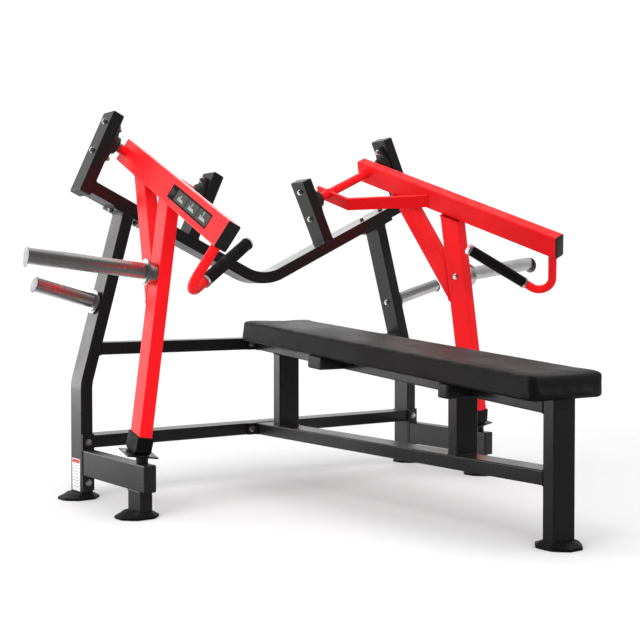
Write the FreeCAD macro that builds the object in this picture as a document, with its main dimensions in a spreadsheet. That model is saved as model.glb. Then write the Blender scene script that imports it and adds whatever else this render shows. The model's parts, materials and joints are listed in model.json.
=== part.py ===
"""Plate-loaded flat bench chest press with two independent lever arms.

X runs across the machine (+X is the right arm's side), the lifter lies with the feet towards -Y,
and Z is up from the floor.  The origin is on the floor in the middle of the machine's box.
The machine is a mirror image about X = 0, so paired pieces share one function with a side of
+1 (right) or -1 (left).
"""
import FreeCAD, Part
import math
import os

import Sketcher

# alias, value (millimetres or degrees), what it is
SIZES = [
    ("tube_wide", 80, "wide side of the frame tube"),
    ("tube_thin", 40, "narrow side of the frame tube"),
    ("tube_wall", 3, "wall of the frame tube"),
    ("tube_corner", 4, "outer corner radius of the frame tube"),
    ("upright_front", 671.5, "Y of the front faces of the uprights"),
    ("upright_span", 695, "X of the outer faces of the uprights"),
    ("upright_bend_height", 365, "height of the bend in the uprights"),
    ("upright_lean", 15.5, "inward lean of the upper uprights, degrees"),
    ("upright_bend_radius", 120, "centreline radius of that bend"),
    ("cross_height", 160, "underside of the lower cross tube and of the base tube"),
    ("upper_cross_height", 455, "underside of the upper cross tube"),
    ("side_beam_height", 76, "underside of the side beams"),
    ("side_beam_reach", 417, "side beam length in front of the uprights"),
    ("front_post_front", 397, "front face of the short posts, in front of the uprights"),
    ("flange_thick", 8, "thickness of the bolted flange plates"),
    ("side_flange_height", 180, "height of the side beam flange"),
    ("side_flange_bolts", 128, "bolt spacing on the side beam flange"),
    ("bench_flange_width", 150, "width of the bench flanges"),
    ("bench_flange_bolts", 118, "bolt spacing on the bench flanges"),
    ("foot_height", 18, "height of the rubber feet"),
    ("foot_wide", 124, "rubber foot, square to its tube's wide side"),
    ("foot_narrow", 114, "rubber foot along its tube's wide side"),
    ("foot_outset", 15.5, "corner feet's middle outside the posts"),
    ("foot_ahead", 8, "corner feet's middle in front of the posts'"),
    ("foot_bevel", 7, "how far the foot narrows at its top"),
    ("foot_corner", 34, "corner cut of the foot"),
    ("foot_socket", 6, "depth of the socket that holds the tube"),
    ("bench_incline", 4.6, "fall of the bench towards the foot end, degrees"),
    ("rear_post_front", 152.5, "front face of the rear bench post, in front of the uprights"),
    ("mid_post_front", 1029.5, "front face of the middle bench post"),
    ("leg_front", 1390, "front face of the bench leg"),
    ("pad_rear", 49, "head end of the pad, in front of the uprights"),
    ("pad_length", 1354, "length of the pad"),
    ("pad_width", 280, "width of the pad"),
    ("pad_thick", 68, "thickness of the pad"),
    ("pad_corner", 20, "corner radius of the pad seen from above"),
    ("pad_edge", 12, "edge radius of the pad"),
    ("board_thick", 12, "thickness of the plywood under the foam"),
    ("board_proud", 1, "how far the plywood stands below the cover"),
    ("board_border", 10, "pad outside its plywood"),
    ("bracket_reach", 86, "length of each pad support beside the rail"),
    ("rear_bracket_front", 508, "front face of the head end pad supports"),
    ("rear_bracket_wide", 70, "head end pad supports, along the rail"),
    ("front_bracket_front", 1086, "front face of the foot end pad supports"),
    ("front_bracket_wide", 40, "foot end pad supports, along the rail"),
    ("beam_tilt", 25, "rise of each half of the top beam, degrees"),
    ("beam_offset", 622.5, "distance of the half beam's centreline from the origin"),
    ("beam_bend_radius", 173, "centreline radius of the top beam's bend"),
    ("inner_post_at", 611, "inner bearing post, along the half beam"),
    ("outer_post_at", 1023, "outer bearing post, along the half beam"),
    ("post_top", 875, "top of the bearing posts, square to the half beam"),
    ("outer_post_drop", 6, "outer post below the half beam"),
    ("cap_thick", 5, "thickness of the plastic tube caps"),
    ("cap_bevel", 3, "bevel of the plastic tube caps"),
    ("top_flange_at", 857, "middle of the top flange's bolts, along the half beam"),
    ("top_flange_length", 140, "length of the upright's top flange"),
    ("top_flange_inset", 10, "top flange's middle inward of its bolts' middle"),
    ("top_flange_bolts", 96, "bolt spacing of the top flange"),
    ("pivot_height", 790, "pivot axis, square to the half beam"),
    ("shaft_radius", 12.5, "radius of the pivot shaft"),
    ("ring_radius", 17, "outer radius of the bearing's inner ring"),
    ("ring_width", 34, "width of the bearing's inner ring"),
    ("running_gap", 0.05, "radial clearance of the ring in its housing"),
    ("housing_width", 27, "depth of the flange bearing housing"),
    ("housing_flange", 13, "thickness of the housing's flange"),
    ("housing_radius", 32, "radius of the housing's round body"),
    ("housing_ear", 15, "radius of the housing's ears"),
    ("bearing_bolts", 104, "bolt spacing of the flange bearing"),
    ("pivot_tube_radius", 16, "outer radius of the arm's pivot tube"),
    ("arm_at", 917.5, "middle of the lever arm's beam, along the pivot axis"),
    ("arm_fall", 21.87, "fall of the lever arm's beam, degrees"),
    ("arm_tail", 39, "beam behind the pivot axis"),
    ("arm_reach", 887, "beam in front of the pivot axis"),
    ("leg_at", 412, "leg, along the beam from the pivot axis"),
    ("leg_lean", 8.3, "outward lean of the leg, degrees"),
    ("leg_rake", 0.85, "forward rake of the leg towards its foot, degrees"),
    ("leg_length", 732, "leg, from the beam's centreline to its end"),
    ("landing_at", 787, "landing, from the beam's centreline down the leg"),
    ("boot_border", 5, "rubber boot outside the leg"),
    ("boot_round", 15, "rounding of the boot's lower edges"),
    ("landing_pitch", 12, "pitch of the landing, degrees"),
    ("landing_gap", 0.5, "gap between boot and landing plate at rest"),
    ("landing_wide", 97, "landing plate across the machine"),
    ("landing_deep", 80, "landing plate along the machine"),
    ("landing_set_back", 3, "landing plate's middle behind the leg's centreline"),
    ("landing_thick", 5, "thickness of the landing plate"),
    ("neck_radius", 18, "radius of the landing plate's neck"),
    ("neck_reach", 370, "neck's axis, in front of the uprights"),
    ("brace_at", 707, "arm brace's straight start, along the pivot axis"),
    ("brace_thick", 10, "thickness of the arm brace's flat bar"),
    ("brace_deep", 46, "height of the arm brace's flat bar"),
    ("brace_drop", 10, "arm brace below the beam's centreline"),
    ("brace_start", 55, "rear end of the arm brace, behind the pivot axis"),
    ("brace_elbow", 103, "elbow of the arm brace, along the beam"),
    ("brace_end", 314, "end of the arm brace, along the beam"),
    ("strut_wide", 70, "wide side of the leg's strut"),
    ("strut_top", 192, "leg strut at the beam, along the beam"),
    ("strut_foot", 276, "leg strut on the leg, from the beam's centreline"),
    ("horn_radius", 24, "radius of the plate horns"),
    ("horn_chamfer", 3, "chamfer of the horn's tip"),
    ("horn_wall", 4, "wall of the plate horns"),
    ("weight_ring_radius", 38.5, "radius of the weight horn's stop ring"),
    ("weight_ring_at", 25, "weight horn's stop ring, from the leg"),
    ("storage_ring_radius", 35, "radius of the storage horn's stop ring"),
    ("storage_ring_at", 6, "storage horn's stop ring, from the upright"),
    ("horn_ring_thick", 7, "thickness of the stop rings"),
    ("weight_horn_at", 255.5, "weight horn on the leg, from the beam's centreline"),
    ("weight_horn_length", 385, "length of the weight horns"),
    ("weight_horn_droop", 1.3, "weight horn below the square to its leg, degrees"),
    ("droop_slack", 0.3, "extra bolt length where the weight horn's root wall is tilted"),
    ("storage_horn_at", 264, "storage horn, along the lean from the bend"),
    ("storage_horn_length", 215, "length of the storage horns"),
    ("handle_at", 861, "handle, along the beam from the pivot axis"),
    ("handle_radius", 14, "outer radius of the handle tube"),
    ("handle_wall", 2.5, "wall of the handle tube"),
    ("handle_drop", 179, "handle's first leg, to the corner of its bend"),
    ("handle_bend_radius", 42, "centreline radius of the handle's bend"),
    ("grip_start", 113.5, "start of the hand grip, from the corner of the bend"),
    ("grip_length", 219, "length of the rubber grip"),
    ("grip_radius", 18, "outer radius of the rubber grip"),
    ("collar_length", 9, "length of the grip's metal collars"),
    ("grip_collar_radius", 19, "radius of the grip's metal collars"),
    ("bolt_radius", 5, "radius of the bolts' shanks"),
    ("bolt_head", 8.5, "half the width of the bolt heads over their corners"),
    ("bolt_head_thick", 6.5, "thickness of the bolt heads and nuts"),
    ("washer_radius", 10.5, "radius of the washers"),
    ("washer_thick", 2, "thickness of the washers"),
]

# The hand grip's direction in the arm's own axes: along the pivot axis, along the beam, up from it.
GRIP_DIRECTION = (-0.534, -0.583, 0.6135)
MIRRORED_SIDES = ((-1, "left"), (1, "right"))
TRIM_BLOCK = 400      # edge of the blocks that trim or drill; larger than any tube section
PLAY = 20             # how far a cutting tool runs past what it cuts

doc = FreeCAD.newDocument("chest_press")
sheet = doc.addObject("Spreadsheet::Sheet", "sizes")
for row, (alias, value, meaning) in enumerate(SIZES, 1):
    sheet.set(f"A{row}", meaning)
    sheet.set(f"B{row}", str(value))
    sheet.setAlias(f"B{row}", alias)
doc.recompute()

parts = {}            # node name -> the document object that is the sub-part


def size(alias):
    """A driving dimension from the sheet."""
    return float(sheet.get(alias))


def vec(x, y, z):
    return FreeCAD.Vector(x, y, z)


def turned(x, y, angle):
    """The plane vector (x, y) turned anticlockwise by an angle in degrees."""
    a = math.radians(angle)
    return (x * math.cos(a) - y * math.sin(a), x * math.sin(a) + y * math.cos(a))


def mirrored(point, side):
    return vec(side * point.x, point.y, point.z)


def axes_at(point, x_axis, z_axis):
    """A placement at a point whose local X and Z lie along the given directions."""
    y_axis = z_axis.cross(x_axis)
    return FreeCAD.Placement(point, FreeCAD.Rotation(x_axis, y_axis, z_axis, "ZXY"))


def keep(name, thing):
    """Name a finished sub-part and list it for export."""
    thing.Label = name
    parts[name] = thing
    return thing


# ---------------------------------------------------------------- bodies and sketches

def new_body(label, place=None):
    body = doc.addObject("PartDesign::Body", label + "_body")
    if place is not None:
        body.Placement = place
    return body


def new_sketch(body, role="XY_Plane"):
    """A sketch on one of the body's own origin planes."""
    plane = next(f for f in body.Origin.OriginFeatures if f.Role == role)
    sketch = body.newObject("Sketcher::SketchObject", body.Name + "_sketch")
    sketch.AttachmentSupport = [(plane, "")]
    sketch.MapMode = "FlatFace"
    return sketch


def bound_rectangle(sketch, wide, deep):
    """A rectangle centred on the sketch's origin; wide and deep are sheet expressions."""
    corners = [vec(-9, -9, 0), vec(9, -9, 0), vec(9, 9, 0), vec(-9, 9, 0)]
    first = sketch.GeometryCount
    for start, end in zip(corners, corners[1:] + corners[:1]):
        sketch.addGeometry(Part.LineSegment(start, end), False)
    for i in range(4):
        following = first + (i + 1) % 4
        sketch.addConstraint(Sketcher.Constraint("Coincident", first + i, 2, following, 1))
        direction = "Vertical" if i % 2 else "Horizontal"
        sketch.addConstraint(Sketcher.Constraint(direction, first + i))
    sketch.addConstraint(Sketcher.Constraint("Symmetric", first, 1, first + 2, 1, -1, 1))
    across = sketch.addConstraint(Sketcher.Constraint("DistanceX", first, 1, first, 2, 18))
    along = sketch.addConstraint(Sketcher.Constraint("DistanceY", first + 1, 1, first + 1, 2, 18))
    sketch.setExpression(f"Constraints[{across}]", wide)
    sketch.setExpression(f"Constraints[{along}]", deep)


def bound_circle(sketch, radius):
    """A circle on the sketch's origin; radius is a sheet expression."""
    circle = sketch.addGeometry(Part.Circle(vec(0, 0, 0), vec(0, 0, 1), 9), False)
    sketch.addConstraint(Sketcher.Constraint("Coincident", circle, 3, -1, 1))
    index = sketch.addConstraint(Sketcher.Constraint("Radius", circle, 9))
    sketch.setExpression(f"Constraints[{index}]", radius)


def outline(sketch, edges):
    """Closed outline: each edge is (start, end) or, for an arc, (start, middle, end)."""
    for edge in edges:
        points = [vec(x, y, 0) for x, y in edge]
        curve = Part.LineSegment(*points) if len(points) == 2 else Part.Arc(*points)
        sketch.addGeometry(curve, False)


def closed_polygon(points):
    return [(a, b) for a, b in zip(points, points[1:] + points[:1])]


def pad(body, sketch, length, both_ways=False):
    feature = body.newObject("PartDesign::Pad", body.Name + "_pad")
    feature.Profile = sketch
    feature.setExpression("Length", length)
    if both_ways:
        feature.SideType = "Symmetric"
    return feature


def pocket(body, sketch, length=None, both_ways=False, reverse=False):
    """A pocket of a given depth, or right through the body where no depth is given."""
    feature = body.newObject("PartDesign::Pocket", body.Name + "_pocket")
    feature.Profile = sketch
    if length is None:
        feature.Type = "ThroughAll"
    else:
        feature.setExpression("Length", length)
    if both_ways or length is None:
        feature.SideType = "Symmetric"
    feature.Reversed = reverse
    return feature


def chosen_edges(shape, wanted):
    return [f"Edge{i}" for i, edge in enumerate(shape.Edges, 1) if wanted(edge)]


def middle_of(edge):
    return edge.valueAt((edge.FirstParameter + edge.LastParameter) / 2)


def round_edges(body, base, wanted, radius):
    """Fillet the base feature's edges that the test picks out."""
    doc.recompute()
    local = base.Shape.copy()
    feature = body.newObject("PartDesign::Fillet", body.Name + "_fillet")
    feature.Base = (base, chosen_edges(local, wanted))
    feature.setExpression("Radius", radius)
    return feature


def bevel_edges(body, base, wanted, width):
    doc.recompute()
    feature = body.newObject("PartDesign::Chamfer", body.Name + "_chamfer")
    feature.Base = (base, chosen_edges(base.Shape, wanted))
    feature.setExpression("Size", width)
    return feature


# ---------------------------------------------------------------- tubes, plates and turned pieces

def straight_tube(label, wide, deep, length, place):
    """Square-cut rectangular tube from its placement along local Z; sizes are expressions."""
    body = new_body(label, place)
    section = new_sketch(body)
    bound_rectangle(section, wide, deep)
    solid = pad(body, section, length)
    round_edges(body, solid, lambda e: abs(e.tangentAt(e.FirstParameter).z) > 0.99,
                "sizes.tube_corner")
    bore = new_sketch(body)
    bound_rectangle(bore, f"{wide} - 2 * sizes.tube_wall", f"{deep} - 2 * sizes.tube_wall")
    pocket(body, bore)
    return body


def strip_edges(path, half, radius=0.0, start_cut=None, end_cut=None):
    """Outline of a strip of the given half width along a path with rounded corners.

    The cuts are the directions of the two end lines; without them the ends are square.
    """
    legs = []
    for (ax, ay), (bx, by) in zip(path, path[1:]):
        length = math.hypot(bx - ax, by - ay)
        legs.append(((bx - ax) / length, (by - ay) / length))

    def end_point(point, leg, cut, shift):
        if cut is None:
            cut = (-leg[1], leg[0])
        across = (-leg[1] * cut[0] + leg[0] * cut[1])
        return (point[0] + cut[0] * shift / across, point[1] + cut[1] * shift / across)

    runs = []
    for shift in (half, -half):
        run = []
        last = end_point(path[0], legs[0], start_cut, shift)
        for corner, before, after in zip(path[1:-1], legs, legs[1:]):
            cosine = before[0] * after[0] + before[1] * after[1]
            turn = before[0] * after[1] - before[1] * after[0]
            miter = shift / (1 + cosine)
            tip = (corner[0] - (before[1] + after[1]) * miter,
                   corner[1] + (before[0] + after[0]) * miter)
            bend = radius - math.copysign(1, turn) * shift if radius else 0.0
            if bend <= 0:
                run.append((last, tip))
                last = tip
                continue
            half_turn = math.acos(cosine) / 2
            reach = bend * math.tan(half_turn)
            enter = (tip[0] - before[0] * reach, tip[1] - before[1] * reach)
            leave = (tip[0] + after[0] * reach, tip[1] + after[1] * reach)
            inward = (after[0] - before[0], after[1] - before[1])
            scale = bend * (1 / math.cos(half_turn) - 1) / math.hypot(*inward)
            deepest = (tip[0] + inward[0] * scale, tip[1] + inward[1] * scale)
            run.append((last, enter))
            run.append((enter, deepest, leave))
            last = leave
        run.append((last, end_point(path[-1], legs[-1], end_cut, shift)))
        runs.append(run)
    left, right = runs
    ends = [(left[0][0], right[0][0]), (left[-1][-1], right[-1][-1])]
    return left + right + ends


def lengthened(path, extra):
    """The path with both ends run on by some distance."""
    (ax, ay), (bx, by) = path[0], path[1]
    first = math.hypot(bx - ax, by - ay)
    (cx, cy), (dx, dy) = path[-2], path[-1]
    last = math.hypot(dx - cx, dy - cy)
    start = (ax - (bx - ax) * extra / first, ay - (by - ay) * extra / first)
    end = (dx + (dx - cx) * extra / last, dy + (dy - cy) * extra / last)
    return [start] + path[1:-1] + [end]


def strip_body(label, path, wide, deep, place, role, **shape):
    """Solid strip: the path lies in one of the body's planes and deep is square to it."""
    body = new_body(label, place)
    profile = new_sketch(body, role)
    outline(profile, strip_edges(path, wide / 2, **shape))
    solid = pad(body, profile, deep, both_ways=True)
    return body, solid


def shaped_tube(label, path, wide, deep, place, role="XY_Plane", **shape):
    """Rectangular tube along a path, bent or cut at an angle, with a bore right through it."""
    body, solid = strip_body(label, path, wide, deep, place, role, **shape)
    doc.recompute()
    ends = [to_plane(p, role) for p in (path[0], path[-1])]
    depth_axis = {"XY_Plane": "z", "XZ_Plane": "y", "YZ_Plane": "x"}[role]
    half_deep = max(getattr(v.Point, depth_axis) for v in solid.Shape.Vertexes)

    def runs_along(edge):
        centre = middle_of(edge)
        outside = abs(abs(getattr(centre, depth_axis)) - half_deep) < 0.01
        flat = vec(centre.x, centre.y, centre.z)
        setattr(flat, depth_axis, 0)
        return outside and all(flat.distanceToPoint(end) > 1 for end in ends)

    round_edges(body, solid, runs_along, "sizes.tube_corner")
    bore = new_sketch(body, role)
    outline(bore, strip_edges(lengthened(path, PLAY * 2), wide / 2 - size("tube_wall"),
                              radius=shape.get("radius", 0.0)))
    pocket(body, bore, f"{deep} - 2 * sizes.tube_wall", both_ways=True)
    return body


def to_plane(point, role):
    """Where a sketch point lies in its body's own axes."""
    x, y = point
    return {"XY_Plane": vec(x, y, 0), "XZ_Plane": vec(x, 0, y), "YZ_Plane": vec(0, x, y)}[role]


def turned_body(label, profile, place):
    """Solid of revolution about local Z from a closed (radius, height) outline."""
    body = new_body(label, place)
    sketch = new_sketch(body, "XZ_Plane")
    outline(sketch, closed_polygon(profile))
    feature = body.newObject("PartDesign::Revolution", body.Name + "_turn")
    feature.Profile = sketch
    feature.ReferenceAxis = (sketch, ["V_Axis"])
    feature.Angle = 360
    return body


def cylinder(radius, length, place, name="drill"):
    thing = doc.addObject("Part::Cylinder", name)
    thing.setExpression("Radius", radius)
    thing.setExpression("Height", length)
    thing.Placement = place
    return thing


def block(wide, deep, tall, place, name="block"):
    """Box centred on its placement in local X and Y, from local Z = 0 up."""
    thing = doc.addObject("Part::Box", name)
    thing.setExpression("Length", str(wide))
    thing.setExpression("Width", str(deep))
    thing.setExpression("Height", str(tall))
    doc.recompute()
    shift = vec(-thing.Length.Value / 2, -thing.Width.Value / 2, 0)
    thing.Placement = place.multiply(FreeCAD.Placement(shift, FreeCAD.Rotation()))
    return thing


def joined(things, name="joined"):
    if len(things) == 1:
        return things[0]
    thing = doc.addObject("Part::MultiFuse", name)
    thing.Shapes = things
    return thing


def cut_away(base, tools, name="cut"):
    thing = doc.addObject("Part::Cut", name)
    thing.Base = base
    thing.Tool = joined(tools, name + "_tools")
    return thing


def group(things, name):
    """Identical or paired solids in one node."""
    thing = doc.addObject("Part::Compound", name)
    thing.Links = things
    return thing


def half_space(point, outward, name="trim"):
    """Block that covers everything beyond a plane."""
    helper = vec(0, 0, 1) if abs(outward.z) < 0.9 else vec(0, 1, 0)
    across = (helper - outward * helper.dot(outward)).normalize()
    return block(TRIM_BLOCK, TRIM_BLOCK, TRIM_BLOCK, axes_at(point, across, outward), name)


def drills(sites, radius="sizes.bolt_radius"):
    """Drill tools for bolt sites; each site is (head point, direction, grip length)."""
    tools = []
    for point, direction, grip in sites:
        across = direction.cross(vec(0, 0, 1))
        if across.Length < 0.1:
            across = vec(1, 0, 0)
        start = point - direction * PLAY
        place = axes_at(start, across.normalize(), direction)
        tools.append(cylinder(radius, str(grip + 2 * PLAY), place))
    return tools


def bolts(name, sites):
    """Hex bolts with washers and nuts; each site is (head point, direction, grip length)."""
    washer = size("washer_thick")
    pieces = []
    for point, direction, grip in sites:
        across = direction.cross(vec(0, 0, 1))
        if across.Length < 0.1:
            across = vec(1, 0, 0)
        across.normalize()
        at_head = axes_at(point - direction * washer, across, direction)
        at_nut = axes_at(point + direction * grip, across, direction)
        heads = []
        for place, offset in ((at_head, -size("bolt_head_thick")), (at_nut, washer)):
            hexagon = doc.addObject("Part::Prism", "hexagon")
            hexagon.Polygon = 6
            hexagon.setExpression("Circumradius", "sizes.bolt_head")
            hexagon.setExpression("Height", "sizes.bolt_head_thick")
            shift = FreeCAD.Placement(vec(0, 0, offset), FreeCAD.Rotation())
            hexagon.Placement = place.multiply(shift)
            heads.append(hexagon)
            heads.append(cylinder("sizes.washer_radius", "sizes.washer_thick", place, "washer"))
        shank = cylinder("sizes.bolt_radius", str(grip + 2 * washer), at_head, "shank")
        pieces.append(joined(heads + [shank], "bolt"))
    return keep(name, group(pieces, name))


def capped(label, wide, deep, place):
    """Plastic cap with bevelled edges that closes a tube's end, from local Z = 0 up."""
    body = new_body(label, place)
    profile = new_sketch(body)
    bound_rectangle(profile, wide, deep)
    solid = pad(body, profile, "sizes.cap_thick")
    bevel_edges(body, solid, lambda e: middle_of(e).z > size("cap_thick") - 0.01,
                "sizes.cap_bevel")
    return body


# ---------------------------------------------------------------- directions and landmarks

WIDE = size("tube_wide")
THIN = size("tube_thin")
X_AXIS = vec(1, 0, 0)
Y_AXIS = vec(0, 1, 0)
Z_AXIS = vec(0, 0, 1)
FRONT = size("upright_front")
MID = FRONT + WIDE / 2                      # Y of the middle of the uprights and the posts
POST_X = size("upright_span") - THIN / 2    # X of the middle of the uprights

tilt = math.radians(size("beam_tilt"))
OUT = vec(math.cos(tilt), 0, math.sin(tilt))          # along the right half of the top beam
SQUARE = vec(-math.sin(tilt), 0, math.cos(tilt))      # square to it, upwards

fall = math.radians(size("arm_fall"))
AHEAD = Y_AXIS * -math.cos(fall) - SQUARE * math.sin(fall)    # along the arm's beam
ABOVE = Y_AXIS * -math.sin(fall) + SQUARE * math.cos(fall)    # square to the beam, upwards
PIVOT = OUT * size("arm_at") + Y_AXIS * MID + SQUARE * size("pivot_height")

lean = math.radians(size("leg_lean"))
rake = math.radians(size("leg_rake"))
DOWN_LEG = vec(math.sin(lean) * math.cos(rake), -math.sin(rake), -math.cos(lean) * math.cos(rake))
ARM_OUT = AHEAD.cross(DOWN_LEG).normalize()           # square to the plane of beam and leg
ARM_DOWN = ARM_OUT.cross(AHEAD).normalize()           # in that plane, square to the beam
LEG_TOP = PIVOT + AHEAD * size("leg_at")


def half_beam(along, square, y=MID):
    """A point given along and square to the right half of the top beam."""
    return OUT * along + SQUARE * square + Y_AXIS * y


# ---------------------------------------------------------------- frame

def upright_sites(side):
    """Bolts of the side beam's flange, through the upright from front to back."""
    middle = size("side_beam_height") + WIDE / 2
    spread = size("side_flange_bolts") / 2
    front = FRONT - size("flange_thick")
    grip = WIDE + size("flange_thick")
    return [(vec(side * POST_X, front, middle + s * spread), Y_AXIS, grip) for s in (-1, 1)]


def top_flange_sites(side):
    """Bolts through the top beam and the upright's top flange."""
    spread = size("top_flange_bolts") / 2
    head = size("beam_offset") + THIN / 2
    down = mirrored(SQUARE * -1, side)
    grip = THIN + size("flange_thick")
    return [(mirrored(half_beam(size("top_flange_at") + s * spread, head), side), down, grip)
            for s in (-1, 1)]


def bench_flange_sites():
    """Bolts of the bench's two flanges, through the cross tubes."""
    spread = size("bench_flange_bolts") / 2
    front = FRONT - size("flange_thick")
    heights = [size(name) + THIN / 2 for name in ("cross_height", "upper_cross_height")]
    grip = WIDE + size("flange_thick")
    return [(vec(s * spread, front, z), Y_AXIS, grip) for z in heights for s in (-1, 1)]


def storage_horn_root(side):
    """Where the storage horn's axis leaves the upright's outer face, and its direction."""
    a = math.radians(size("upright_lean"))
    run = size("storage_horn_at")
    outward = vec(math.cos(a), 0, math.sin(a))
    centre = vec(POST_X - run * math.sin(a), MID, size("upright_bend_height") + run * math.cos(a))
    return mirrored(centre + outward * (THIN / 2), side), mirrored(outward, side)


def make_upright(side, word):
    """Bent upright with its welded top flange."""
    a = math.radians(size("upright_lean"))
    bend = (POST_X, size("upright_bend_height"))
    cut = size("beam_offset") - THIN / 2 - size("flange_thick")
    # Run the leaning part up to the plane of the flange's underside.
    reach = cut + bend[0] * math.sin(tilt) - bend[1] * math.cos(tilt)
    reach /= math.sin(a) * math.sin(tilt) + math.cos(a) * math.cos(tilt)
    top = (bend[0] - reach * math.sin(a), bend[1] + reach * math.cos(a))
    foot = (POST_X, size("foot_height") - size("foot_socket"))
    path = [(side * x, z) for x, z in (foot, bend, top)]
    tube = shaped_tube(f"{word}_upright", path, THIN, "sizes.tube_wide",
                       FreeCAD.Placement(vec(0, MID, 0), FreeCAD.Rotation()), "XZ_Plane",
                       radius=size("upright_bend_radius"),
                       end_cut=(side * math.cos(tilt), math.sin(tilt)))
    centre = mirrored(half_beam(size("top_flange_at") - size("top_flange_inset"), cut), side)
    flange = block("sizes.top_flange_length", "sizes.tube_wide", "sizes.flange_thick",
                   axes_at(centre, mirrored(OUT, side), mirrored(SQUARE, side)), "flange")
    horn_at, horn_out = storage_horn_root(side)
    holes = drills(upright_sites(side) + top_flange_sites(side)
                   + [horn_site("storage", horn_at, horn_out)])
    keep(f"{word}_upright", cut_away(joined([tube, flange], "welded"), holes))


def make_cross_tubes():
    """The two tubes that join the uprights."""
    span = "2 * (sizes.upright_span - sizes.tube_thin)"
    a = math.radians(size("upright_lean"))
    lean_out = vec(math.cos(a), 0, math.sin(a))
    inner_face = vec(POST_X, MID, size("upright_bend_height")) - lean_out * (THIN / 2)
    left = -(size("upright_span") - THIN)
    for name, alias in (("lower_cross_tube", "cross_height"),
                        ("upper_cross_tube", "upper_cross_height")):
        height = size(alias) + THIN / 2
        tube = straight_tube(name, "sizes.tube_thin", "sizes.tube_wide", span,
                             axes_at(vec(left, MID, height), Z_AXIS * -1, X_AXIS))
        tools = drills([site for site in bench_flange_sites() if abs(site[0].z - height) < 1])
        if height > inner_face.z:
            tools += [half_space(mirrored(inner_face, side), mirrored(lean_out, side))
                      for side in (-1, 1)]
        keep(name, cut_away(tube, tools))


def make_side_beam(side, word):
    """Beam that runs forward from the upright, with its bolted flange."""
    x = side * POST_X
    middle = size("side_beam_height") + WIDE / 2
    start = vec(x, FRONT - size("flange_thick"), middle)
    beam = straight_tube(f"{word}_side_beam", "sizes.tube_thin", "sizes.tube_wide",
                         "sizes.side_beam_reach - sizes.flange_thick",
                         axes_at(start, X_AXIS, Y_AXIS * -1))
    flange = block("sizes.tube_thin", "sizes.side_flange_height", "sizes.flange_thick",
                   axes_at(vec(x, FRONT, middle), X_AXIS, Y_AXIS * -1), "flange")
    keep(f"{word}_side_beam", cut_away(joined([beam, flange], "welded"),
                                       drills(upright_sites(side))))


def make_front_post(side, word):
    """Short post under the front of the side beam."""
    y = FRONT - size("front_post_front") + WIDE / 2
    bottom = size("foot_height") - size("foot_socket")
    keep(f"{word}_front_post",
         straight_tube(f"{word}_front_post", "sizes.tube_thin", "sizes.tube_wide",
                       "sizes.side_beam_height - sizes.foot_height + sizes.foot_socket",
                       FreeCAD.Placement(vec(side * POST_X, y, bottom), FreeCAD.Rotation())))


def make_top_beam():
    """V-shaped top beam, bent once in the middle."""
    end = size("outer_post_at") - THIN / 2
    offset = size("beam_offset")
    tip = half_beam(end, offset)
    corner = (0, offset / math.cos(tilt))
    path = [(-tip.x, tip.z), corner, (tip.x, tip.z)]
    tube = shaped_tube("top_beam", path, THIN, "sizes.tube_wide",
                       FreeCAD.Placement(vec(0, MID, 0), FreeCAD.Rotation()), "XZ_Plane",
                       radius=size("beam_bend_radius"))
    sites = top_flange_sites(-1) + top_flange_sites(1)
    keep("top_beam", cut_away(tube, drills(sites)))


def post_span(place_word):
    """Position along the half beam, foot and length of a bearing post."""
    if place_word == "inner":
        foot = size("beam_offset") + THIN / 2
        return size("inner_post_at"), foot, size("post_top") - foot
    foot = size("beam_offset") - THIN / 2 - size("outer_post_drop")
    return size("outer_post_at"), foot, size("post_top") - foot


def bearing_sites(side, place_word):
    """Bolts of one flange bearing, from the far side of its post."""
    along = post_span(place_word)[0]
    away = 1 if place_word == "inner" else -1          # towards the arm
    spread = size("bearing_bolts") / 2
    grip = THIN + size("housing_flange")
    heads = [half_beam(along - away * THIN / 2, size("pivot_height") + s * spread)
             for s in (-1, 1)]
    return [(mirrored(head, side), mirrored(OUT * away, side), grip) for head in heads]


def make_bearing_post(side, word, place_word):
    along, foot, length = post_span(place_word)
    place = axes_at(mirrored(half_beam(along, foot), side), mirrored(OUT, side),
                    mirrored(SQUARE, side))
    post = straight_tube(f"{word}_{place_word}_post", "sizes.tube_thin", "sizes.tube_wide",
                         str(length), place)
    holes = drills(bearing_sites(side, place_word))
    keep(f"{word}_{place_word}_bearing_post", cut_away(post, holes))


def bearing_housing(side, place_word):
    """Two-bolt flange bearing housing: a lozenge flange and a round body, bored for the ring."""
    away = 1 if place_word == "inner" else -1
    face = post_span(place_word)[0] + away * THIN / 2
    place = axes_at(mirrored(half_beam(face, size("pivot_height")), side),
                    mirrored(SQUARE, side), mirrored(OUT * away, side))
    body = new_body("housing", place)
    big, ear, reach = size("housing_radius"), size("housing_ear"), size("bearing_bolts") / 2
    angle = math.acos((big - ear) / reach)
    c, s = math.cos(angle), math.sin(angle)
    lozenge = [
        ((big * c, big * s), (0, big), (-big * c, big * s)),
        ((-big * c, big * s), (-reach - ear * c, ear * s)),
        ((-reach - ear * c, ear * s), (-reach - ear, 0), (-reach - ear * c, -ear * s)),
        ((-reach - ear * c, -ear * s), (-big * c, -big * s)),
        ((-big * c, -big * s), (0, -big), (big * c, -big * s)),
        ((big * c, -big * s), (reach + ear * c, -ear * s)),
        ((reach + ear * c, -ear * s), (reach + ear, 0), (reach + ear * c, ear * s)),
        ((reach + ear * c, ear * s), (big * c, big * s)),
    ]
    flange = new_sketch(body)
    outline(flange, lozenge)
    pad(body, flange, "sizes.housing_flange")
    hub = new_sketch(body)
    bound_circle(hub, "sizes.housing_radius - 2")
    pad(body, hub, "sizes.housing_width")
    bore = new_sketch(body)
    bound_circle(bore, "sizes.ring_radius + sizes.running_gap")
    pocket(body, bore)
    return cut_away(body, drills(bearing_sites(side, place_word)))


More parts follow.
